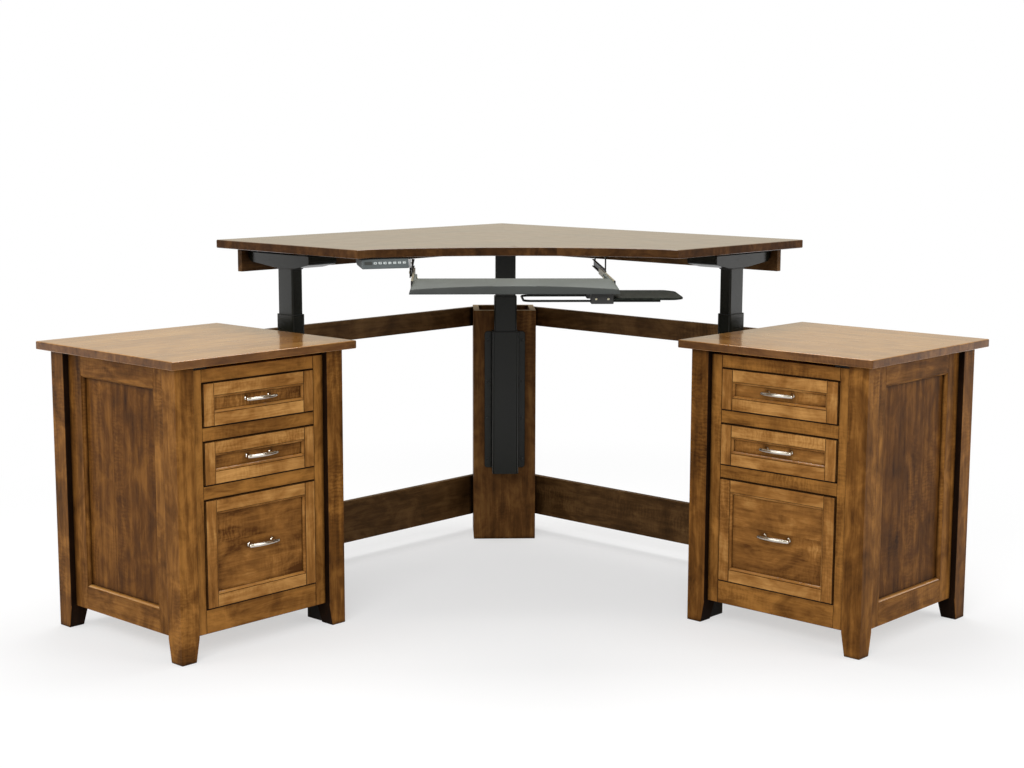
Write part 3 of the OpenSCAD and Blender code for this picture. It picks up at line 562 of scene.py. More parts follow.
# %% Desktop
top_z, under_z, top_ease = 1027.0, 1003.0, 3.0
arc_centre_y, arc_radius, arc_end_x, arc_steps = -2236.0, 1055.23, 395.7, 32
arc_half = math.asin(arc_end_x / arc_radius)
front_arc = []
for k in range(arc_steps + 1):
    y, x = on_circle(arc_radius, arc_half * (2 * k / arc_steps - 1))
    front_arc.append((x, arc_centre_y + y))
wing_end, wing_nose = (862.1, -862.1), (431.1, -1293.2)
left_end, left_nose = (-wing_end[0], wing_end[1]), (-wing_nose[0], wing_nose[1])
top_outline = [(0, 0), left_end, left_nose] + front_arc + [wing_nose, wing_end]
slab = prism(top_outline, 0, top_z - under_z, top_ease, 3)
glue_lines = (86, 182, 268, 362, 448, 536, 640, 760)
saw(slab, [(Vector(), Vector((1, 0, 0)))])
for side in sides:
    across = wing_turn[side] @ Vector((0, 1, 0))
    saw(slab, [(across * line, across) for line in glue_lines])


def top_plank(middle):
    side = "left" if middle.x < 0 else "right"
    middle.z = 0
    across = (wing_turn[side].inverted() @ middle).y
    return side, sum(across > line for line in glue_lines)


desktop = Piece("desktop_planks", into_room @ Matrix.Translation((0, 0, under_z)))
for (side, row), board in planks(slab, top_plank).items():
    bmesh.ops.transform(board, matrix=wing_turn[side].inverted(), verts=board.verts)
    desktop.take(board, maple_top, local=wing_turn[side], other=(maple_edge, rim))
desktop.make("rising_top", "desktop", "stained_maple_top", smooth=40)
print("planks in the top:", 2 * (len(glue_lines) + 1), "at most")

# %% [markdown]
# Under each rear edge runs an apron, a board on edge that stiffens the top and hides the steel.
# A square end would leave a notch in the corner, so the two meet in a mitre.

# %% Aprons
def mitred(start, end, v0, v1):
    """A board's outline along a wing, its inner end cut at 45 degrees."""
    return [(start + v0, v0), (end, v0), (end, v1), (start + v1, v1)]


apron_v, apron_t, apron_low, apron_end = 10.0, 19.0, 931.0, 1149.2
aprons = Piece("apron_boards", into_room)
for side in sides:
    outline = mitred(0, apron_end, apron_v, apron_v + apron_t)
    aprons.take(prism(outline, apron_low, under_z, 1.2), maple_frame, local=wing_turn[side])
aprons.make("rising_top", "aprons", "stained_maple_frame")
print("aprons:", round((apron_end - apron_v) * MM, 3), "m long each")

# %% [markdown]
# The corner post and both end posts are boxed from four boards whose end grain shows on top, and
# two stretchers join them along each wing. Solid posts of that size would crack as they dry.

# %% Corner post, stretchers and end posts
board_t, post_h = 19.0, 762.0


def boxed_post(node, place, low, high, finish):
    """Four boards about a hollow: broad ones in front and behind, narrower ones between."""
    (x0, y0), (x1, y1) = low, high
    post = Piece(node + "_boards", place)
    for a, b in (((x0, y0), (x1, y0 + board_t)),
                 ((x0, y1 - board_t), (x1, y1)),
                 ((x0, y0 + board_t), (x0 + board_t, y1 - board_t)),
                 ((x1 - board_t, y0 + board_t), (x1, y1 - board_t))):
        post.board((*a, 0), (*b, post_h), finish, "z", other=(end_grain, lambda way: way.z > 0.9))
    post.make("base", node, "stained_maple_frame")


low, high = (-101.6, -334.0), (101.6, -148.0)
boxed_post("corner_post", into_room, low, high, maple_post)
end_u0, stretch_v0, stretch_v1, corner_gap = 1135.2, 43.5, 63.5, 143.7
stretch_line = mitred(corner_gap, end_u0, stretch_v0, stretch_v1)
for side in sides:
    for level, low, high, tone in (("upper", 696.0, 758.0, 0.16), ("lower", 54.0, 186.0, 0.06)):
        node = f"{side}_{level}_stretcher"
        stretcher = Piece(node + "_board", wings[side])
        stretcher.take(prism(stretch_line, low, high, 2.0), maple_frame, "x", tone)
        stretcher.make("base", node, "stained_maple_frame")
    low, high = (end_u0, stretch_v0), (wing_long, 283.5)
    boxed_post(f"{side}_end_post", wings[side], low, high, maple_frame)
print("base boards are on")

# %% [markdown]
# Each pedestal is a joiner's case: four square legs, frame-and-panel sides between them, a face
# frame with three openings and a glued-up top that overhangs. A small moulding runs round each
# panel in mitres. It could be a bevel on the frame, but a profile crosses truly at the corners.

# %% Frames, panels and mouldings
STICKING = [(0.0, 0.6), (1.2, 0.6), (1.8, 2.2), (3.4, 3.0), (5.2, 5.0), (6.2, 7.4), (6.4, 9.0)]


def moulding(piece, x0, x1, z0, z1, profile, back, finish, local):
    """A profile of (inset, depth) points run round an opening; y is the depth into the frame."""
    loop = profile + [(profile[-1][0], back), (profile[0][0], back)]
    corners = [(x0, z0, 1, 1), (x1, z0, -1, 1), (x1, z1, -1, -1), (x0, z1, 1, -1)]
    # Painted highlight: the bottom run's upward faces take the lighter, glossy top finish, as if
    # lit from above.
    lit_ledge = (maple_slab, lambda way: way.z > 0.3)
    for k in range(4):
        ends = (corners[k], corners[(k + 1) % 4])
        part = skinned([[(x + sx * i, d, z + sz * i) for i, d in loop] for x, z, sx, sz in ends])
        piece.take(part, finish, "xz"[k % 2], None, local, None if k else lit_ledge)


def glued_panel(piece, x0, x1, z0, z1, y0, y1, boards, finish, local, along="z", tone=0.0):
    """A flat panel glued from boards of uneven width, upright or lying."""
    low, high = (x0, x1) if along == "z" else (z0, z1)
    shares = [1 + dice.uniform(-0.25, 0.25) for _ in range(boards)]
    start = low
    for k, share in enumerate(shares):
        stop = high if k == boards - 1 else start + (high - low) * share / sum(shares)
        ends = ((start, y0, z0), (stop, y1, z1))
        if along == "x":
            ends = ((x0, y0, start), (x1, y1, stop))
        tinted = tone + dice.uniform(-0.06, 0.06)
        piece.board(*ends, finish, along, 0.15, 1, tone=tinted, local=local)
        start = stop


def framed_panel(piece, width, low, top, local):
    """Two stiles, two rails and a panel; the outer face lies at y = 0 and the body behind it."""
    stile, foot_rail, head_rail, depth, sink, panel_t = 57.5, 62.0, 60.5, 20.0, 12.0, 6.0
    x0, x1, z0, z1 = stile, width - stile, low + foot_rail, top - head_rail
    for a, b in ((0, x0), (x1, width)):
        piece.board((a, 0, low), (b, depth, top), maple_case, "z", 0.9, local=local)
    for a, b, tone in ((low, z0, 0.04), (z1, top, 0.0)):
        piece.board((x0, 0, a), (x1, depth, b), maple_case, "x", 0.8, tone=tone, local=local)
    glued_panel(piece, x0, x1, z0, z1, sink, sink + panel_t, 3, maple_panel, local)
    moulding(piece, x0, x1, z0, z1, STICKING, sink, maple_case, local)


def leg(size, foot, knee, top, ease):
    """A square leg from the origin into +x, +y; below the knee its two inner sides draw in."""
    square = ((0, 0), (1, 0), (1, 1), (0, 1))
    levels = ((foot, 0), (size, knee), (size, top))
    part = skinned([[(x * w, y * w, z) for x, y in square] for w, z in levels])
    return soften(part, arrises(part, 40), ease, 3)


print("moulding profile:", len(STICKING), "points")

# %% [markdown]
# Each case top is glued from seven planks, and no two cases have their joints in the same place.
# A copy of the left case would be quicker, but the eye finds a repeated board at once.

# %% Pedestal cases
leg_u0, leg_u1, leg_v0, leg_v1, leg_w, leg_foot = 1249.8, 1801.6, 27.6, 579.0, 57.0, 46.0
case_z, slab_z, pedestal_h = 62.0, 762.0, 784.0
frame_u0, frame_u1, frame_v0, face_v = 1265.8, 1785.6, 43.6, 563.0
inner_u0, inner_u1, inner_v0, inner_v1 = 1306.8, 1744.6, 84.6, 522.0
slab_u0, slab_u1, slab_v1 = 1222.2, 1829.2, 606.6
side_wide, back_wide = inner_v1 - inner_v0, inner_u1 - inner_u0
slab_joints = ((88, 14), (176, 12), (262, 14), (356, 12), (440, 12), (528, 12))
for side in sides:
    case_top = Piece(f"{side}_pedestal_top_planks", wings[side])
    outline = [(slab_u0, 0), (slab_u1, 0), (slab_u1, slab_v1), (slab_u0, slab_v1)]
    slab = prism(outline, slab_z, pedestal_h, 3.0, 3)
    joints = [v + dice.uniform(-give, give) for v, give in slab_joints]
    saw(slab, [(Vector((0, v, 0)), Vector((0, 1, 0))) for v in joints])
    for row, board in planks(slab, lambda middle: sum(middle.y > v for v in joints)).items():
        case_top.take(board, maple_slab, other=(slab_edge, rim))
    case_top.make("base", f"{side}_pedestal_top", "stained_maple_case", smooth=40)

    legs = Piece(f"{side}_pedestal_leg_set", wings[side])
    for v, t in ((leg_v0, 1), (leg_v1, -1)):
        for u, s in ((leg_u0, 1), (leg_u1, -1)):
            stand = lay(u, v) @ Matrix.Diagonal((s, t, 1, 1))
            # Painted shade: the legs' inner faces, which stand in shadow under the case, wear the
            # near-black finish.
            inner = (glaze_and_shade, lambda way: max(way.x, way.y) > 0.7)
            post = leg(leg_w, leg_foot, case_z, slab_z, 2.2)
            legs.take(post, maple_case, "z", dice.uniform(0.0, 0.1), stand, inner)
    legs.make("base", f"{side}_pedestal_legs", "stained_maple_case")

    panels = Piece(f"{side}_pedestal_frames", wings[side])
    framed_panel(panels, side_wide, case_z, slab_z, lay(frame_u1, inner_v0, turn=90))
    framed_panel(panels, side_wide, case_z, slab_z, lay(frame_u0, inner_v1, turn=-90))
    framed_panel(panels, back_wide, case_z, slab_z, lay(inner_u0, frame_v0))
    panels.make("base", f"{side}_pedestal_panels", "stained_maple_case")
print("pedestal cases:", len(sides))

# %% [markdown]
# The face frame holds the drawers, its rails let in between full stiles. The rounded arrises by
# the gaps are painted near black, partly a dark glaze and partly painted shade: shadow alone would
# be too soft, so the arrises carry a painted shadow, and each joint reads as a line.

# %% Face frames and pedestal floors
open_u0, open_u1, face_t, face_top = 1341.8, 1709.6, 22.0, 750.0
OPENINGS = {"top": (599.5, 715.0), "middle": (448.5, 564.0), "bottom": (125.5, 413.0)}
# Painted shade and glaze: the rounded arrises by the gaps wear the near-black finish.
glazed_and_shaded = (glaze_and_shade, lined)
rail_glazed_and_shaded = (glaze_and_shade, lambda way: lined(way) and abs(way.x) < 0.2)
for side in sides:
    face = Piece(f"{side}_face_frame_boards", wings[side])
    v0, v1 = face_v - face_t, face_v
    for u0, u1 in ((inner_u0, open_u0), (open_u1, inner_u1)):
        low, high = (u0, v0, case_z), (u1, v1, face_top)
        face.board(low, high, maple_case, "z", 1.2, tone=0.17, other=glazed_and_shaded)
    edges = sorted([case_z, face_top] + [z for pair in OPENINGS.values() for z in pair])
    for z0, z1 in zip(edges[::2], edges[1::2]):
        low, high = (open_u0, v0, z0), (open_u1, v1, z1)
        face.board(low, high, maple_case, "x", 1.2, tone=0.24, other=rail_glazed_and_shaded)
    face.make("base", f"{side}_face_frame", "stained_maple_case")

floor_z, floor_t = 123.5, 12.0
floors = Piece("pedestal_floor_boards")
u0, u1, v0, v1 = frame_u0 + 20, frame_u1 - 20, frame_v0 + 20, face_v - face_t
a0, a1, b0, b1 = leg_u0 + leg_w, leg_u1 - leg_w, leg_v0 + leg_w, leg_v1 - leg_w
outline = [(a0, v0), (a1, v0), (a1, b0), (u1, b0), (u1, b1), (a1, b1),
           (a1, v1), (a0, v1), (a0, b1), (u0, b1), (u0, b0), (a0, b0)]
for side in sides:
    board = prism(outline, floor_z - floor_t, floor_z, 0.4, 1)
    floors.take(board, drawer_birch, local=wings[side])
floors.make("base", "pedestal_floors", "drawer_wood")
print("openings in each face frame:", len(OPENINGS))

# %% [markdown]
# A drawer is a light wooden box behind a framed front, with a steel runner screwed to each side.
# The front could be a plain board, but the real one repeats the case sides: a frame round a flat
# field, set 4 mm proud of the face frame so that a thin line of shadow runs round it.

# %% Drawers
field_v, front_v, box_v0, box_v1 = 558.5, 567.0, 90.0, 547.0
front_gap, front_frame, box_t, bottom_t, slide_h, slide_space = 2.0, 34.0, 12.0, 6.0, 36.0, 12.7
box_rise, box_drop = 12, 14
DRAWER_STICKING = [(0.0, 0.5), (1.0, 0.5), (1.6, 2.0), (3.2, 3.0), (5.2, 5.2), (6.0, 6.4)]


def slide_rail(piece, u, inward, v0, v1, z, height, local=nowhere):
    """A pressed steel runner: a thin web with two rolled lips, screw heads along its middle."""
    web, reach, lip, screw_step = 1.2, 5.4, 3.4, 128
    face = u + inward * web
    piece.board((u, v0, z), (face, v1, z + height), zinc, "y", 0.3, 1, local=local)
    for edge, rise in ((z, lip), (z + height, -lip)):
        low, high = (face, v0, edge), (u + inward * reach, v1, edge + rise)
        piece.board(low, high, zinc, "y", 1.2, local=local)
    for v in range(int(v0) + 40, int(v1) - 20, screw_step):
        place = local @ lay(face, v, z + height / 2, tip=90 * inward)
        piece.take(screw_head(8, 1.4), zinc, "z", local=place)


def drawer_front(drawer, level, low, high):
    """Two stiles, two rails, the field and its moulding, seen from the front."""
    width, depth, sink = open_u1 - open_u0 - 2 * front_gap, front_v - box_v1, front_v - field_v
    facing = Matrix.Translation((open_u1 - front_gap, front_v, 0)) @ Matrix.Diagonal((-1, -1, 1, 1))
    x0, x1, z0, z1 = front_frame, width - front_frame, low + front_frame, high - front_frame
    for a, b in ((0, x0), (x1, width)):
        ends = (a, 0, low), (b, depth, high)
        drawer.board(*ends, maple_drawer, "z", 1.4, local=facing, other=glazed_and_shaded)
    for a, b in ((low, z0), (z1, high)):
        ends = (x0, 0, a), (x1, depth, b)
        drawer.board(*ends, maple_drawer, "x", 1.4, tone=0.13, local=facing, other=rail_glazed_and_shaded)
    if level == "bottom":
        glued_panel(drawer, x0, x1, z0, z1, sink, depth, 2, maple_drawer, facing, "x", -0.16)
    else:
        low, high = (x0, sink, z0), (x1, depth, z1)
        drawer.board(low, high, maple_drawer, "x", 0.15, 1, tone=-0.08, local=facing)
    moulding(drawer, x0, x1, z0, z1, DRAWER_STICKING, sink, maple_drawer, facing)


def drawer_box(drawer, low, high):
    """Two long sides, the front and back between them, the bottom and a runner on each side."""
    u0, u1, b0, b1 = open_u0 + slide_space, open_u1 - slide_space, low + box_rise, high - box_drop
    a0, a1, v0, v1 = u0 + box_t, u1 - box_t, box_v0 + box_t, box_v1 - box_t
    for x0, x1 in ((u0, a0), (a1, u1)):
        drawer.board((x0, box_v0, b0), (x1, box_v1, b1), drawer_birch, "y", 1.2)
    for y0, y1 in ((box_v0, v0), (v1, box_v1)):
        drawer.board((a0, y0, b0), (a1, y1, b1), drawer_birch, "x", 1.2)
    drawer.board((a0, v0, b0), (a1, v1, b0 + bottom_t), drawer_birch, "x", 0.2, 1)
    for u, inward in ((u0, -1), (u1, 1)):
        slide_low = (low + high - slide_h) / 2 + 2
        slide_rail(drawer, u, inward, box_v0, box_v1 - 2, slide_low, slide_h - 4)


for side in sides:
    for level, (low, high) in OPENINGS.items():
        drawer = Piece(f"{side}_{level}_drawer_parts", wings[side])
        drawer_front(drawer, level, low + front_gap, high - front_gap)
        drawer_box(drawer, low, high)
        drawer.make(f"{side}_{level}", f"{side}_{level}_drawer", "stained_maple_drawer")
print("drawers:", 2 * len(OPENINGS))

# %% [markdown]
# The handle is a cast bow on two turned posts. Its bar is thickest in the middle and swells a
# little over the posts. A bent tube has one thickness all along, so rings of changing size are
# set along the arc and joined instead.

# %% Bow handles
handle_half, bow_rise, handle_reach, post_x, bow_steps = 50.9, 7.0, 22.0, 38.1, 40
bow_radius = (handle_half**2 + bow_rise**2) / (2 * bow_rise)
post_end = handle_reach - bow_radius + math.sqrt(bow_radius**2 - post_x**2)
post_profile = [
    (0, 0), (6.6, 0), (6.9, 0.6), (6.6, 1.5), (5.4, 2.4), (4.6, 4.0), (4.2, 6.0),
    (4.1, post_end * 0.45), (4.4, post_end - 6.5), (5.2, post_end - 4.5), (5.3, post_end - 1.5),
    (0, post_end),
]


def swept(path, sizes, around=20):
    """Rings of the given (wide, high) half sizes set square to a path of points, then joined."""
    rings = []
    for k, (point, (wide, high)) in enumerate(zip(path, sizes)):
        ahead = (path[min(k + 1, len(path) - 1)] - path[max(k - 1, 0)]).normalized()
        aside = ahead.cross(Vector((0, 0, 1))).normalized()
        over = aside.cross(ahead).normalized()
        turns = (on_circle(1, 2 * math.pi * n / around) for n in range(around))
        rings.append([point + aside * wide * x + over * high * y for x, y in turns])
    return skinned(rings)


bow_thick, bow_taper, post_swell, swell_w, tip_start, tip_long = 5.8, 0.9, 0.3, 3.4, 0.94, 0.062
path, sizes = [], []
for k in range(bow_steps + 1):
    x = handle_half * (2 * k / bow_steps - 1)
    near_tip = abs(x) / handle_half
    swell = post_swell * math.exp(-(((abs(x) - post_x) / swell_w) ** 2))
    size = bow_thick - bow_taper * near_tip**2 + swell
    if near_tip > tip_start:
        size *= math.sqrt(max(0.0, 1 - ((near_tip - tip_start) / tip_long) ** 2)) * 0.98 + 0.02
    path.append(Vector((x, handle_reach - bow_radius + math.sqrt(bow_radius**2 - x * x), 0)))
    sizes.append((size * 0.94, size * 1.01))
for side in sides:
    for level, (low, high) in OPENINGS.items():
        place = wings[side] @ lay((open_u0 + open_u1) / 2, field_v, (low + high) / 2 + 3)
        handle = Piece(f"{side}_{level}_bow_handle", place)
        handle.take(swept(path, sizes), polished_nickel)
        for x in (-post_x, post_x):
            handle.take(spun(post_profile, 28), polished_nickel, "z", local=lay(x, roll=-90))
        handle.make(f"{side}_{level}", f"{side}_{level}_handle", "polished_nickel", smooth=50)
print("handle centres:", 2 * post_x, "mm")

# %% [markdown]
# The fixed runners show when a drawer is out, and a black foot and block stand in the shadow
# beside the inner legs. They could be left to the solids, but those have sharp edges. The foot is
# painted shade: a black block set where the foot of each inner leg lies in deep shadow.

# %% Runners, feet and blocks
runners, blocks = Piece("drawer_runner_rails"), Piece("pedestal_foot_blocks")
for side in sides:
    for low, high in OPENINGS.values():
        for u, inward in ((open_u0, 1), (open_u1, -1)):
            z = (low + high - slide_h) / 2
            slide_rail(runners, u, inward, frame_v0 + 20, box_v1 - 1, z, slide_h, wings[side])
for side in sides:
    # Painted shade: a black foot set where the inner leg's foot lies in deep shadow.
    low, high = (frame_u0, inner_v1 - 57.5, 0), (frame_u0 + 23, inner_v1, case_z)
    blocks.board(low, high, black_rubber, "z", 1.5, local=wings[side])
    low, high = (inner_u1 - 54, face_v - face_t, face_top), (inner_u1 - 6, face_v - 3, slab_z)
    blocks.board(low, high, black_rubber, "x", 1.0, local=wings[side])
runners.make("base", "drawer_runners", "zinc_steel")
blocks.make("base", "pedestal_blocks", "black_foot")
print("runners:", 2 * len(OPENINGS), "pairs")

# %% [markdown]
# Three telescopic columns lift the top, two against the end posts and one against the corner
# post. Their tubes are rolled steel, with a thin plastic ring in each mouth that keeps the next
# one from rattling. A square tube would catch the light quite differently from these round corners.

# %% Telescopic columns
column_at = {
    "left": wings["left"] @ lay(1095, 182.5, turn=-90),
    "centre": into_room @ lay(0, -374),
    "right": wings["right"] @ lay(1095, 182.5, turn=-90),
}
# The long and short side, low and high end, and corner radius of each stage.
OUTER, MIDDLE, INNER = (84, 58, 233, 701, 7), (72.6, 46.6, 374, 814, 6), (64.9, 38.9, 502, 962, 5)


def tube(long, short, low, high, radius, wall=2.0, ease=0.6):
    """A rolled rectangular tube with round corners and slightly broken ends."""
    rings = []
    outside = ((0, low + ease), (0, high - ease), (ease, high))
    for inset, z in (*outside, (wall, high), (wall, low), (ease, low)):
        corner = max(radius - inset, 1.0)
        rings.append([(x, y, z) for x, y in rounded(long - 2 * inset, short - 2 * inset, corner)])
    return skinned(rings, around_again=True)


def ringed_tube(piece, long, short, low, high, radius, ring_radius, ring_wall, local=nowhere):
    """A tube with a thin ring in its mouth that guides the next one."""
    piece.take(tube(long, short, low, high - 1.6, radius), black_powder, "z", local=local)
    ring = tube(long - 0.4, short - 0.4, high - 1.5, high, ring_radius, ring_wall, 0.4)
    piece.take(ring, black_plastic, "z", local=local)


def glide(piece, x, y, half_x, half_y, low, ease, steps=2, local=nowhere):
    """A white plastic pad that slides inside the next tube."""
    low_corner, high_corner = (x - half_x, y - half_y, low), (x + half_x, y + half_y, low + 30)
    piece.board(low_corner, high_corner, white_plastic, "z", ease, steps, local=local)


for side, matrix in column_at.items():
    outer = Piece(f"{side}_outer_tube_steel", matrix)
    ringed_tube(outer, *OUTER, ring_radius=6.0, ring_wall=5.1)
    outer.make("base", f"{side}_outer_tube", "black_steel")
middle = Piece("middle_tube_steels")
for matrix in column_at.values():
    ringed_tube(middle, *MIDDLE, ring_radius=5.4, ring_wall=3.3, local=matrix)
    for s in (-1, 1):
        glide(middle, s * 37.9, 0, 1.6, 11, MIDDLE[2], 0.6, local=matrix)
        glide(middle, 0, s * 24.9, 18, 1.6, MIDDLE[2], 0.6, local=matrix)
middle.make("middle_stage", "middle_tubes", "black_steel")
for side, matrix in column_at.items():
    inner = Piece(f"{side}_inner_tube_steel", matrix)
    inner.take(tube(*INNER), black_powder, "z")
    for s in (-1, 1):
        glide(inner, s * 33.2, 0, 0.7, 9, INNER[2], 0.3, 1)
    inner.make("rising_top", f"{side}_inner_tube", "black_steel")
print("columns:", len(column_at), "of three stages each")

# %% [markdown]
# Each column hangs on a pressed steel channel. Its broad flange is screwed to the post, and
# folded ribs reach forward and hold the tube. Boards of steel do for that, as the folds are tight.

# %% Mounting channels
channels = Piece("channel_pressings")
mount_y, channel_t, channel_low, channel_high = 40.2, 3.0, 242.0, 694.0
flange_y, flange_w, flange_r, screw_x = mount_y - channel_t, 132, 9, 56
for matrix in column_at.values():
    plate = prism(rounded(flange_w, channel_high - channel_low, flange_r), 0, channel_t, 0.8)
    upright = matrix @ lay(0, mount_y, (channel_low + channel_high) / 2, roll=90)
    channels.take(plate, black_powder, "y", local=upright)
    for s in (-1, 1):
        for x0, x1, y0 in ((28, 42, 29), (44, 47, 25)):
            low, high = (s * x0, y0, channel_low + 3), (s * x1, flange_y + 0.2, channel_high - 3)
            channels.board(low, high, black_powder, "z", 1.2, 3, local=matrix)
        for z in (channel_low + 30, channel_low + 165, channel_high - 165, channel_high - 30):
            screw_place = matrix @ lay(s * screw_x, flange_y, z, roll=90)
            channels.take(screw_head(9, 2.0), black_plastic, "z", local=screw_place)
channels.make("base", "column_channels", "black_steel")
print("channels:", len(column_at))

# %% [markdown]
# A folded steel pan with a long sloping nose holds the gear motor at the head of each column,
# with black rubber pads between it and the top. It could be extruded in one move, but real folds
# are round, so the profile is rounded first.

# %% Motor housings and pads
housing_a, housing_b, housing_y0, housing_y1 = 148.5, 119.5, -74.0, 32.0
housing_z, housing_top, pad_inset, pad_long = 950.0, 988.5, 6, 40
NOSE = [
    (-housing_a, housing_top), (-housing_a, housing_top - 16.5),
    (-housing_a + 12, housing_top - 27.5), (-32.5, housing_z), (housing_b - 62, housing_z),
    (housing_b, housing_top - 25), (housing_b, housing_top),
]


def folded(points, radius, steps=4):
    """An open line of points with its inner corners rounded."""
    points = [Vector(p) for p in points]
    line = [points[0]]
    for before, corner, after in zip(points, points[1:], points[2:]):
        back, on = before - corner, after - corner
        r = min(radius, back.length * 0.45, on.length * 0.45)
        p, q = corner + back.normalized() * r, corner + on.normalized() * r
        for t in (k / steps for k in range(steps + 1)):
            line.append(p * (1 - t) ** 2 + corner * 2 * t * (1 - t) + q * t * t)
    return line + [points[-1]]


def sheet_pan(points, y0, y1, gauge):
    """A sheet folded along a profile in x, z, with side walls up to the profile's open top."""
    line = folded(points, 7.0)
    inside = []
    for k, p in enumerate(line):
        way = line[min(k + 1, len(line) - 1)] - line[max(k - 1, 0)]
        q = p + Vector((-way.y, way.x)).normalized() * gauge
        if k in (0, len(line) - 1):
            q.y = p.y
        inside.append(q)
    part = bmesh.new()
    skins = []
    for profile, ys in ((line, (y0, y1)), (inside, (y0 + gauge, y1 - gauge))):
        near, far = ([part.verts.new((p.x, y, p.y)) for p in profile] for y in ys)
        for k in range(len(profile) - 1):
            part.faces.new((near[k], near[k + 1], far[k + 1], far[k]))
        part.faces.new(near)
        part.faces.new(far)
        skins.append((near, far))
    (a, d), (b, c) = ((near[0], far[0]) for near, far in skins)
    (e, h), (f, g) = ((near[-1], far[-1]) for near, far in skins)
    for quad in ((a, b, f, e), (c, d, h, g), (a, d, c, b), (e, f, g, h)):
        part.faces.new(quad)
    bmesh.ops.recalc_face_normals(part, faces=part.faces)
    return soften(part, arrises(part, 60), 0.7)


pads = Piece("housing_pad_blocks")
eyelet = [(0, -0.3), (3.4, -0.3), (3.4, 0.05), (4.1, 0.45), (4.6, 0.05), (4.6, -0.3), (0, -0.3)]
for side, matrix in column_at.items():
    over = matrix if side == "centre" else matrix @ mirrored
    housing = Piece(f"{side}_motor_housing_steel", over)
    housing.take(sheet_pan(NOSE, housing_y0, housing_y1, 2.0), black_powder, "x")
    collar = tube(70.9, 44.9, housing_z - 5, housing_z + 2, 6.0, 2.75, 0.4)
    housing.take(collar, black_plastic, "z")
    for x in (-51, 15):
        for y, turn in ((housing_y0 + 0.3, 90), (housing_y1 - 0.3, -90)):
            hole = lay(x, y, housing_top - 15, roll=turn)
            housing.take(spun(eyelet, 24), black_rubber, "z", local=hole)
    housing.make("rising_top", f"{side}_motor_housing", "black_steel", smooth=40)
    for x in (-housing_a + pad_inset, housing_b - pad_inset - pad_long):
        low, high = (x, housing_y0 + 0.5, housing_top), (x + pad_long, housing_y1 - 0.5, under_z)
        pads.board(low, high, black_rubber, "x", 1.5, local=over)
pads.make("rising_top", "housing_spacers", "black_plastic")
print("housings at", list(column_at))

# %% [markdown]
# Inside each column a worm gearbox turns a steel spindle, driven by a motor that lies in the
# housing. Nobody sees them once the desk is together, so turned shapes are detail enough.

# %% Motors and spindles
drives = Piece("drive_units")
gear_low, gear_high, motor_axis_z, spindle_top = 962.3, 985.3, 974.0, 961.5
can = [(0, 0), (9, 0), (10.6, 0.8), (11.2, 2), (11.2, 46), (9.6, 48), (9.6, 66), (8.4, 68)]
can += [(4, 68.4), (4, 70), (0, 70)]
thread_low, thread_pitch, thread_turns = 522, 3, 146
thread = [(0, thread_low)]
for z in range(thread_low, thread_low + thread_pitch * thread_turns, thread_pitch):
    thread += [(4.7, z + 0.5), (5.9, z + 1.6), (5.9, z + 2.4)]
thread += [(4.7, spindle_top), (0, spindle_top)]
for side, matrix in column_at.items():
    over = matrix if side == "centre" else matrix @ mirrored
    low, high = (-20, -14, gear_low), (20, 14, gear_high)
    drives.board(low, high, motor_paint, "x", 2.5, 3, local=over)
    drives.take(spun(can, 32), motor_paint, "z", local=over @ lay(-20, 0, motor_axis_z, tip=-90))
    drives.take(spun(thread, 16), zinc, "z", local=over)
drives.make("rising_top", "drive_motors", "motor_steel")
print("drives:", len(column_at), "with", thread_turns, "turns of thread each")

# %% [markdown]
# The control box hangs under the left wing by two ears. It has cooling slots and a dark recess for
# the mains inlet. Slots could be painted on, but cut ones look right from every side.

# %% Control box
def as_mesh(part):
    mesh = bpy.data.meshes.new("carving")
    part.to_mesh(mesh)
    part.free()
    return mesh


def carve(part, cutters):
    """Cuts closed shapes out of a part and returns the result."""
    bits = bmesh.new()
    for cutter in cutters:
        bit = as_mesh(cutter)
        bits.from_mesh(bit)
        bpy.data.meshes.remove(bit)
    body = put_in_scene("carve_body", as_mesh(part))
    tool = put_in_scene("carve_tool", as_mesh(bits))
    cut = body.modifiers.new("cut", "BOOLEAN")
    cut.object, cut.operation, cut.solver = tool, "DIFFERENCE", "EXACT"
    bpy.context.view_layer.update()
    result = bmesh.new()
    solid = body.evaluated_get(bpy.context.evaluated_depsgraph_get())
    result.from_mesh(solid.to_mesh())
    solid.to_mesh_clear()
    for mesh in (body.data, tool.data):
        bpy.data.meshes.remove(mesh)
    return result


def cut_block(low, high):
    return block(low, high, ease=0)


box_long, box_short, box_high, ear_t = 270.0, 100.0, 36.0, 4.0
ear_z, slot_w, slot_step, slots = box_high - ear_t, 4, 9, 9
control = Piece("control_box_case", wings["left"] @ lay(560, 95, under_z - box_high))
case = block((0, 0, 0), (box_long, box_short, box_high - 0.4), 3.0, 3)
bits = [cut_block((box_long - 13, 35, 6), (box_long + 3, 62, 25))]
for k in range(slots):
    rear, under = 26 + k * slot_step, 70 + k * slot_step
    bits.append(cut_block((rear, -3, 9), (rear + slot_w, 3, 26)))
    bits.append(cut_block((under, 30, -2), (under + slot_w, 70, 3)))
control.take(carve(case, bits), black_plastic)
for x0 in (-20, box_long - 2):
    control.board((x0, 25, ear_z), (x0 + 22, 75, box_high), black_plastic, "x", 1.2)
ear_screws = [(x, y, ear_z) for x in (-11, box_long + 11) for y in (36, 64)]
control.screws(ear_screws, 9, 1.8, roll=180)
for y in (41, 47, 53):
    control.board((box_long - 11, y, 12), (box_long - 3, y + 2, 19), zinc, "x", 0.2, 1)
control.make("rising_top", "control_box", "black_plastic")
print("control box:", box_long, "x", box_short, "x", box_high, "mm")

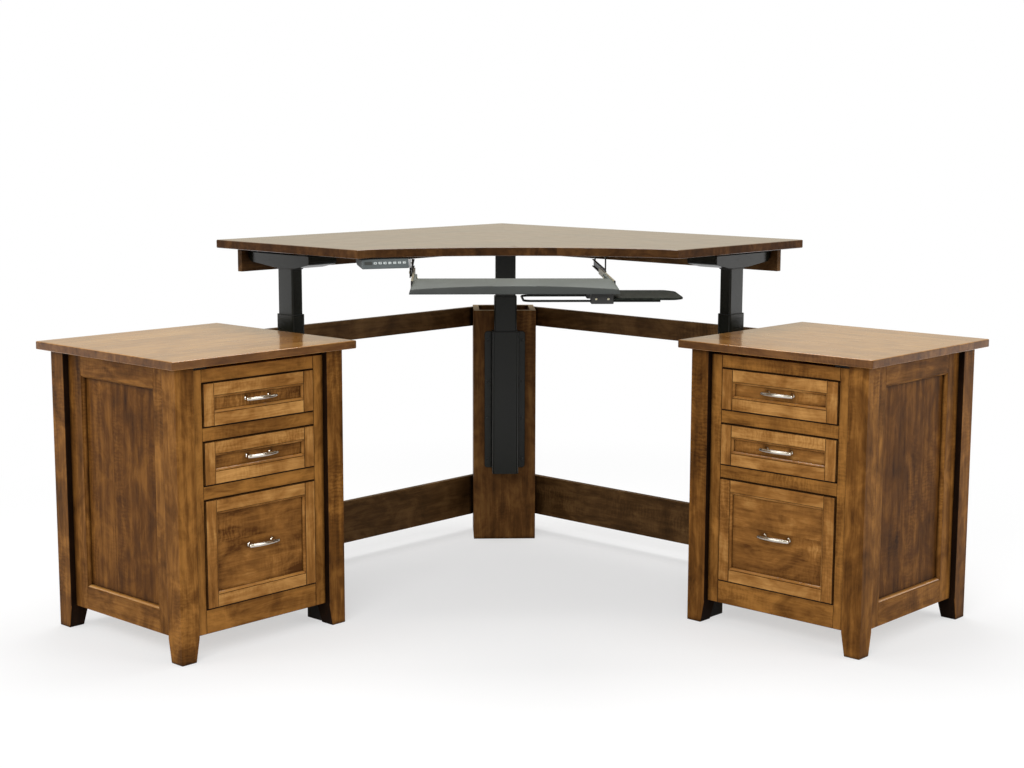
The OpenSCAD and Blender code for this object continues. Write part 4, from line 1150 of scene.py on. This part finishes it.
# %% [markdown]
# The keypad hangs under the front edge at the left and leans back. Its buttons could be part of
# the face, but they are pressed one millimetre in, so each sits in a real pocket.

# %% Keypad case
keypad_lean, keypad_turn, keypad_half, face_depth = 12.0, 19.832, 67.5, 11.34
button_step, button_shift = 13.8, 12
keypad_at = into_room @ lay(-358.0, -1243.4, under_z, turn=keypad_turn)
face_in_pad = lay(0, -6 + 27 * math.tan(math.radians(keypad_lean)), -3, roll=-keypad_lean)
CASE_LINE = [(-0.26, -3.0), (-6.0, -30.0), (42.0, -22.0), (54.0, -13.0), (54.0, -3.0)]
SIGNS = ("up", "down", "dot", "1", "2", "3", "4")
button_x = [(i - len(SIGNS) // 2) * button_step + button_shift for i in range(len(SIGNS))]
case = skinned([[(x, y, z) for y, z in CASE_LINE] for x in (-keypad_half, keypad_half)])
soften(case, arrises(case, 20), 3.2, 4)
pockets = []
for x in button_x:
    pocket = prism(rounded(9.6, 7.1, 1.6, 4), 0, 12.0)
    matrix = face_in_pad @ lay(x, 6.3, -face_depth, roll=90)
    bmesh.ops.transform(pocket, matrix=matrix, verts=pocket.verts)
    pockets.append(pocket)
keypad = Piece("keypad_shell", keypad_at)
keypad.take(carve(case, pockets), keypad_plastic)
keypad.board((-57.5, 20, -3.2), (57.5, 54, 0), black_plastic, "x", 0.8)
badge = prism(rounded(22, 9, 2.5, 4), 0, 0.5, 0.2, 1)
keypad.take(badge, tray_dark, local=face_in_pad @ lay(-49, 0.2, -face_depth, roll=90))
keypad.screws([(-48, 46, -3.2), (48, 46, -3.2)], 7, 1.5, roll=180)
keypad.make("rising_top", "keypad_case", "keypad_plastic", smooth=40)
print("keypad:", 2 * keypad_half, "mm wide")

# %% [markdown]
# The buttons are white caps with a soft front edge. Their legends are plain: arrows for up and
# down, a dot for store, and the numbers of four stored heights. A text object could make the
# numbers, but at this size a few straight strokes read the same and are lighter.

# %% Buttons and their legends
SEGMENTS = {"1": "bc", "2": "abged", "3": "abgcd", "4": "fgbc"}
STROKES = {
    "a": (-1, 1.9, 1, 1.9), "b": (1, 0, 1, 1.9), "c": (1, -1.9, 1, 0), "d": (-1, -1.9, 1, -1.9),
    "e": (-1, -1.9, -1, 0), "f": (-1, 0, -1, 1.9), "g": (-1, 0, 1, 0),
}


def legend(piece, sign, front=-1.32, thick=0.14, narrow=0.8, stroke=0.24):
    """Dark marks on a button's face, drawn in its own x, z and lying in front of it."""
    marks = []
    if sign in ("up", "down"):
        tip = 1.7 if sign == "up" else -1.7
        marks = [prism([(-2.1, -tip * 0.75), (2.1, -tip * 0.75), (0, tip)], 0, thick)]
    elif sign == "dot":
        marks = [spun([(0, 0), (1.3, 0), (1.3, thick), (0, thick)], 20)]
    for mark in marks:
        piece.take(mark, black_plastic, local=lay(0, front + thick, roll=90))
    for name in SEGMENTS.get(sign, ""):
        x0, z0, x1, z1 = STROKES[name]
        low = (x0 * narrow - stroke, front, z0 - stroke)
        high = (x1 * narrow + stroke, front + thick, z1 + stroke)
        piece.board(low, high, black_plastic, "x", 0)


for i, sign in enumerate(SIGNS, 1):
    cap = prism(rounded(9.0, 6.5, 1.5, 4), 0, 6.2)
    soften(cap, [e for e in cap.edges if all(v.co.z > 6.1 for v in e.verts)], 0.7, 3)
    place = keypad_at @ face_in_pad @ lay(button_x[i - 1], 0, -face_depth)
    button = Piece(f"keypad_button_cap_{i}", place)
    button.take(cap, white_plastic, local=lay(0, 5, roll=90))
    legend(button, sign)
    button.make(f"button_{i}", f"keypad_button_{i}", "white_plastic")
print("keypad buttons:", len(SIGNS))

# %% [markdown]
# The tray is moulded. Its palm rest is a soft crest that falls to a lip, and the lip rises in the
# middle, so the face under it, painted dark as shade, is shaped like a lens. One section pushed
# along a line would stay the same, so the surface is lofted from a section every few centimetres.

# %% Keyboard tray
tray_x, tray_z = -21, 937
palm_half, palm_front, palm_back, crest = 267.0, -1600.0, -1505.0, 33.0
palm_middle = (palm_front + palm_back) / 2
tray_back, tray_side, tray_inner = -1290, 258, 250


def palm_section(across):
    """Points (y, z) of the palm rest, from the rear foot over the crest to the front foot."""
    bow = 1 - across * across
    lip, front = 12.0 + 9.0 * bow, palm_front + 1.0 + 3.0 * bow
    points = [(palm_back, 0.0), (palm_back, crest - 4.5), (palm_back - 1.2, crest - 2.0)]
    points += [(palm_back - 4.0, crest - 0.5), (palm_back - 9.0, crest)]
    for t in (k / 9 for k in range(1, 9)):
        y = (palm_back - 9) * (1 - t) + (front + 5) * t
        points.append((y, crest + (lip + 1.8 - crest) * t**1.6))
    points += [(front + 2.2, lip + 0.9), (front + 0.8, lip), (front, lip - 1.5)]
    return points + [(front - 0.6, 4.0), (front + 0.2, 1.2), (front + 2.0, 0.0)]


tips = [0.92, 0.96, 0.985, 1.0]
stations = [-x for x in tips[::-1]] + [-0.85 + 1.7 * k / 24 for k in range(25)] + tips
sections = []
for across in stations:
    edge = max(0.0, (abs(across) - 0.955) / 0.045) ** 2
    section = []
    for y, z in palm_section(across):
        high = z / crest
        x = across * palm_half * (1 - 0.045 * high**1.5)
        y = min(palm_middle + (y - palm_middle) * (1 - 0.035 * edge), palm_back)
        section.append((x, y, z * (1 - 0.16 * edge * high)))
    sections.append(section)
palm = skinned(sections)
# Painted shade: the faces under the lip and underneath wear the darker grey.
shade_y, shade_z = -1592, 21
in_shade = planks(palm, lambda m: m.y < shade_y and m.z < shade_z or m.z < 0.5)
tray = Piece("keyboard_tray_moulding", into_room @ lay(tray_x, 0, tray_z))
tray.take(in_shade[False], tray_plastic)
tray.take(in_shade[True], tray_dark)
tray.board((-tray_side, palm_back, 0), (tray_side, tray_back, 6), tray_plastic, "x", 1.2)
for s in (-1, 1):
    low, high = (s * tray_inner, palm_back, 0), (s * tray_side, tray_back, 26)
    tray.board(low, high, tray_plastic, "y", 1.8, 3)
    tray.screws([(s * tray_inner, y, 17) for y in (-1470, -1400, -1320)], 7, 1.6, tip=-90 * s)
rib_half, rib_w, rib_step = 236, 6, 24
for y in range(-1490, -1310, rib_step):
    tray.board((-rib_half, y, 5.5), (rib_half, y + rib_w, 7.2), black_rubber, "x", 0.8)
low, high = (-tray_inner, tray_back - 5, 0), (tray_inner, tray_back, 14)
tray.board(low, high, tray_plastic, "x", 1.6, 3)
tray.make("tray", "keyboard_tray", "grey_plastic", smooth=50)
print("tray:", 2 * palm_half, "mm wide")

# %% [markdown]
# The tray hangs on two folded legs a side, with a fixed slide between them, and a moving slide
# carries it out. Both slides are channels with rolled lips, which flat strips wouldn't show.

# %% Tray hangers and slides
under_desk = into_room @ lay(tray_x)
hanger_x, hanger_t, hanger_w, foot_reach, slide_mid_z = 270.5, 3.0, 16, 24, 954


def slide_channel(piece, x, way, y0, y1, z0, z1, lip, ease, finish):
    """A steel channel: a web with a lip rolled along each edge, both towards way."""
    piece.board((x, y0, z0), (x + way * 1.3, y1, z1), finish, "y", 0.4)
    for a, b in ((z0, z0 + lip), (z1 - lip, z1)):
        piece.board((x + way * 1.2, y0, a), (x + way * 6, y1, b), finish, "y", ease)


hangers = Piece("tray_hanger_steels", under_desk)
for s in (-1, 1):
    x, outer_x = s * hanger_x, s * (hanger_x + hanger_t)
    for y in (-1144, -816):
        low, high = sorted((x, outer_x))
        window = cut_block((low - 1, y + 5.5, 975), (high + 1, y + 10.5, 992))
        leg_strip = block((low, y, 939), (high, y + hanger_w, 1000.6), 0.8)
        hangers.take(carve(leg_strip, [window]), black_powder, "z")
        low, high = (x, y, 1000), (s * (hanger_x + foot_reach), y + hanger_w, under_z)
        hangers.board(low, high, black_powder, "x", 0.8)
        hangers.screws([(s * 285, y + hanger_w / 2, 1000)], 8, 2.2, roll=180)
        hangers.screws([(outer_x, y + hanger_w / 2, slide_mid_z)], 7, 1.6, tip=90 * s)
    slide_channel(hangers, x, -s, -1150, -790, 943, 965, 2.4, 1.0, black_powder)
hangers.make("rising_top", "tray_hangers", "black_steel")

rails = Piece("tray_slide_rails", under_desk)
rail_front, rail_back, rail_low, rail_high = -1504, -1080, 945, 963
for s in (-1, 1):
    ends = (rail_front, rail_back, rail_low, rail_high)
    slide_channel(rails, s * tray_side, s, *ends, 2.6, 1.1, zinc)
    spots = [(s * (tray_side + 1.3), y, slide_mid_z) for y in range(-1490, -1090, 52)]
    rails.screws(spots, 7, 1.3, tip=90 * s)
    low, high = (s * 258.5, rail_front - 0.7, rail_low), (s * 264, rail_front + 3, rail_high)
    rails.board(low, high, black_plastic, "x", 0.8)
rails.make("tray", "tray_slides", "zinc_steel")
print("tray slides: 2")

# %% [markdown]
# The mouse platform rides on a wire bent to a long loop, which runs in a moulded guide under the
# tray and pulls out to the right. The wire is swept round its bends, as two rods and a bar would
# meet in sharp corners. The plate is laminate with a thick soft edge.

# %% Guide, wire arm and mouse platform
wire_at = into_room @ lay(0, -1490, 917)
wire_half, wire_r, wire_start, wire_end, bend_r = 71.5, 3.0, 3.0, 352, 22.0
guide_x0, guide_x1, guide_half, window_half = 173.7, 231.7, 83.5, 57.5
guide = Piece("arm_guide_block", wire_at)
bits = [cut_block((170, -window_half, -10), (236, window_half, 14))]
for y in (-wire_half, wire_half):
    bore = spun([(0, 0), (3.4, 0), (3.4, 70), (0, 70)], 24)
    bmesh.ops.transform(bore, matrix=lay(168, y, tip=90), verts=bore.verts)
    bits.append(bore)
solid = block((guide_x0, -guide_half, -7), (guide_x1, guide_half, 20), 2.5, 3)
guide.take(carve(solid, bits), black_plastic, "y")
for s in (-1, 1):
    for x in (187, 218):
        guide.screws([(x, s * 64, -7)], 7, 1.6, roll=180)
        guide.screws([(x, s * guide_half, 6)], 6, 1.2, roll=-90 * s)
guide.make("tray", "rod_guide", "black_plastic")

path = [Vector((x, wire_half, 0)) for x in (wire_end, 260, 120, wire_start + bend_r)]
for k in range(1, 13):
    x, y = on_circle(bend_r, math.radians(90 + 90 * k / 12))
    path.append(Vector((wire_start + bend_r + x, wire_half - bend_r + y, 0)))
path += [Vector((p.x, -p.y, 0)) for p in path[::-1]]
arm = Piece("wire_arm_rod", wire_at)
arm.take(swept(path, [(wire_r, wire_r)] * len(path), 16), black_powder)
arm.make("platform", "platform_rod", "black_steel", smooth=50)

plate_w, plate_d, plate_t, cut_w, cut_front, cut_rear = 180, 215, 6.0, 24, 24, 36
outline = [(0, 0), (plate_w - cut_w, 0), (plate_w, cut_front), (plate_w, plate_d - cut_rear)]
plate = prism(outline + [(plate_w - cut_w, plate_d), (0, plate_d)], 0, plate_t)
upright = [e for e in plate.edges if abs(e.verts[0].co.z - e.verts[1].co.z) > 1]
soften(plate, upright, 9, 5)
soften(plate, arrises(plate, 57), 1.8, 4)
platform = Piece("mouse_platform_plate", into_room @ lay(232, -1577.5, 920))
platform.take(plate, dark_board)
for y in (12.5, 155.5):
    for x in (28, 96):
        platform.board((x - 7, y, -0.2), (x + 7, y + 2.7, 1.4), black_plastic, "x", 0.4)
platform.make("platform", "mouse_platform", "black_laminate")
print("platform:", plate_w, "x", plate_d, "mm")

# %% [markdown]
# Last, the size of the solids is printed.

# %% Note the size of the solids
print("box before:", cad_box)
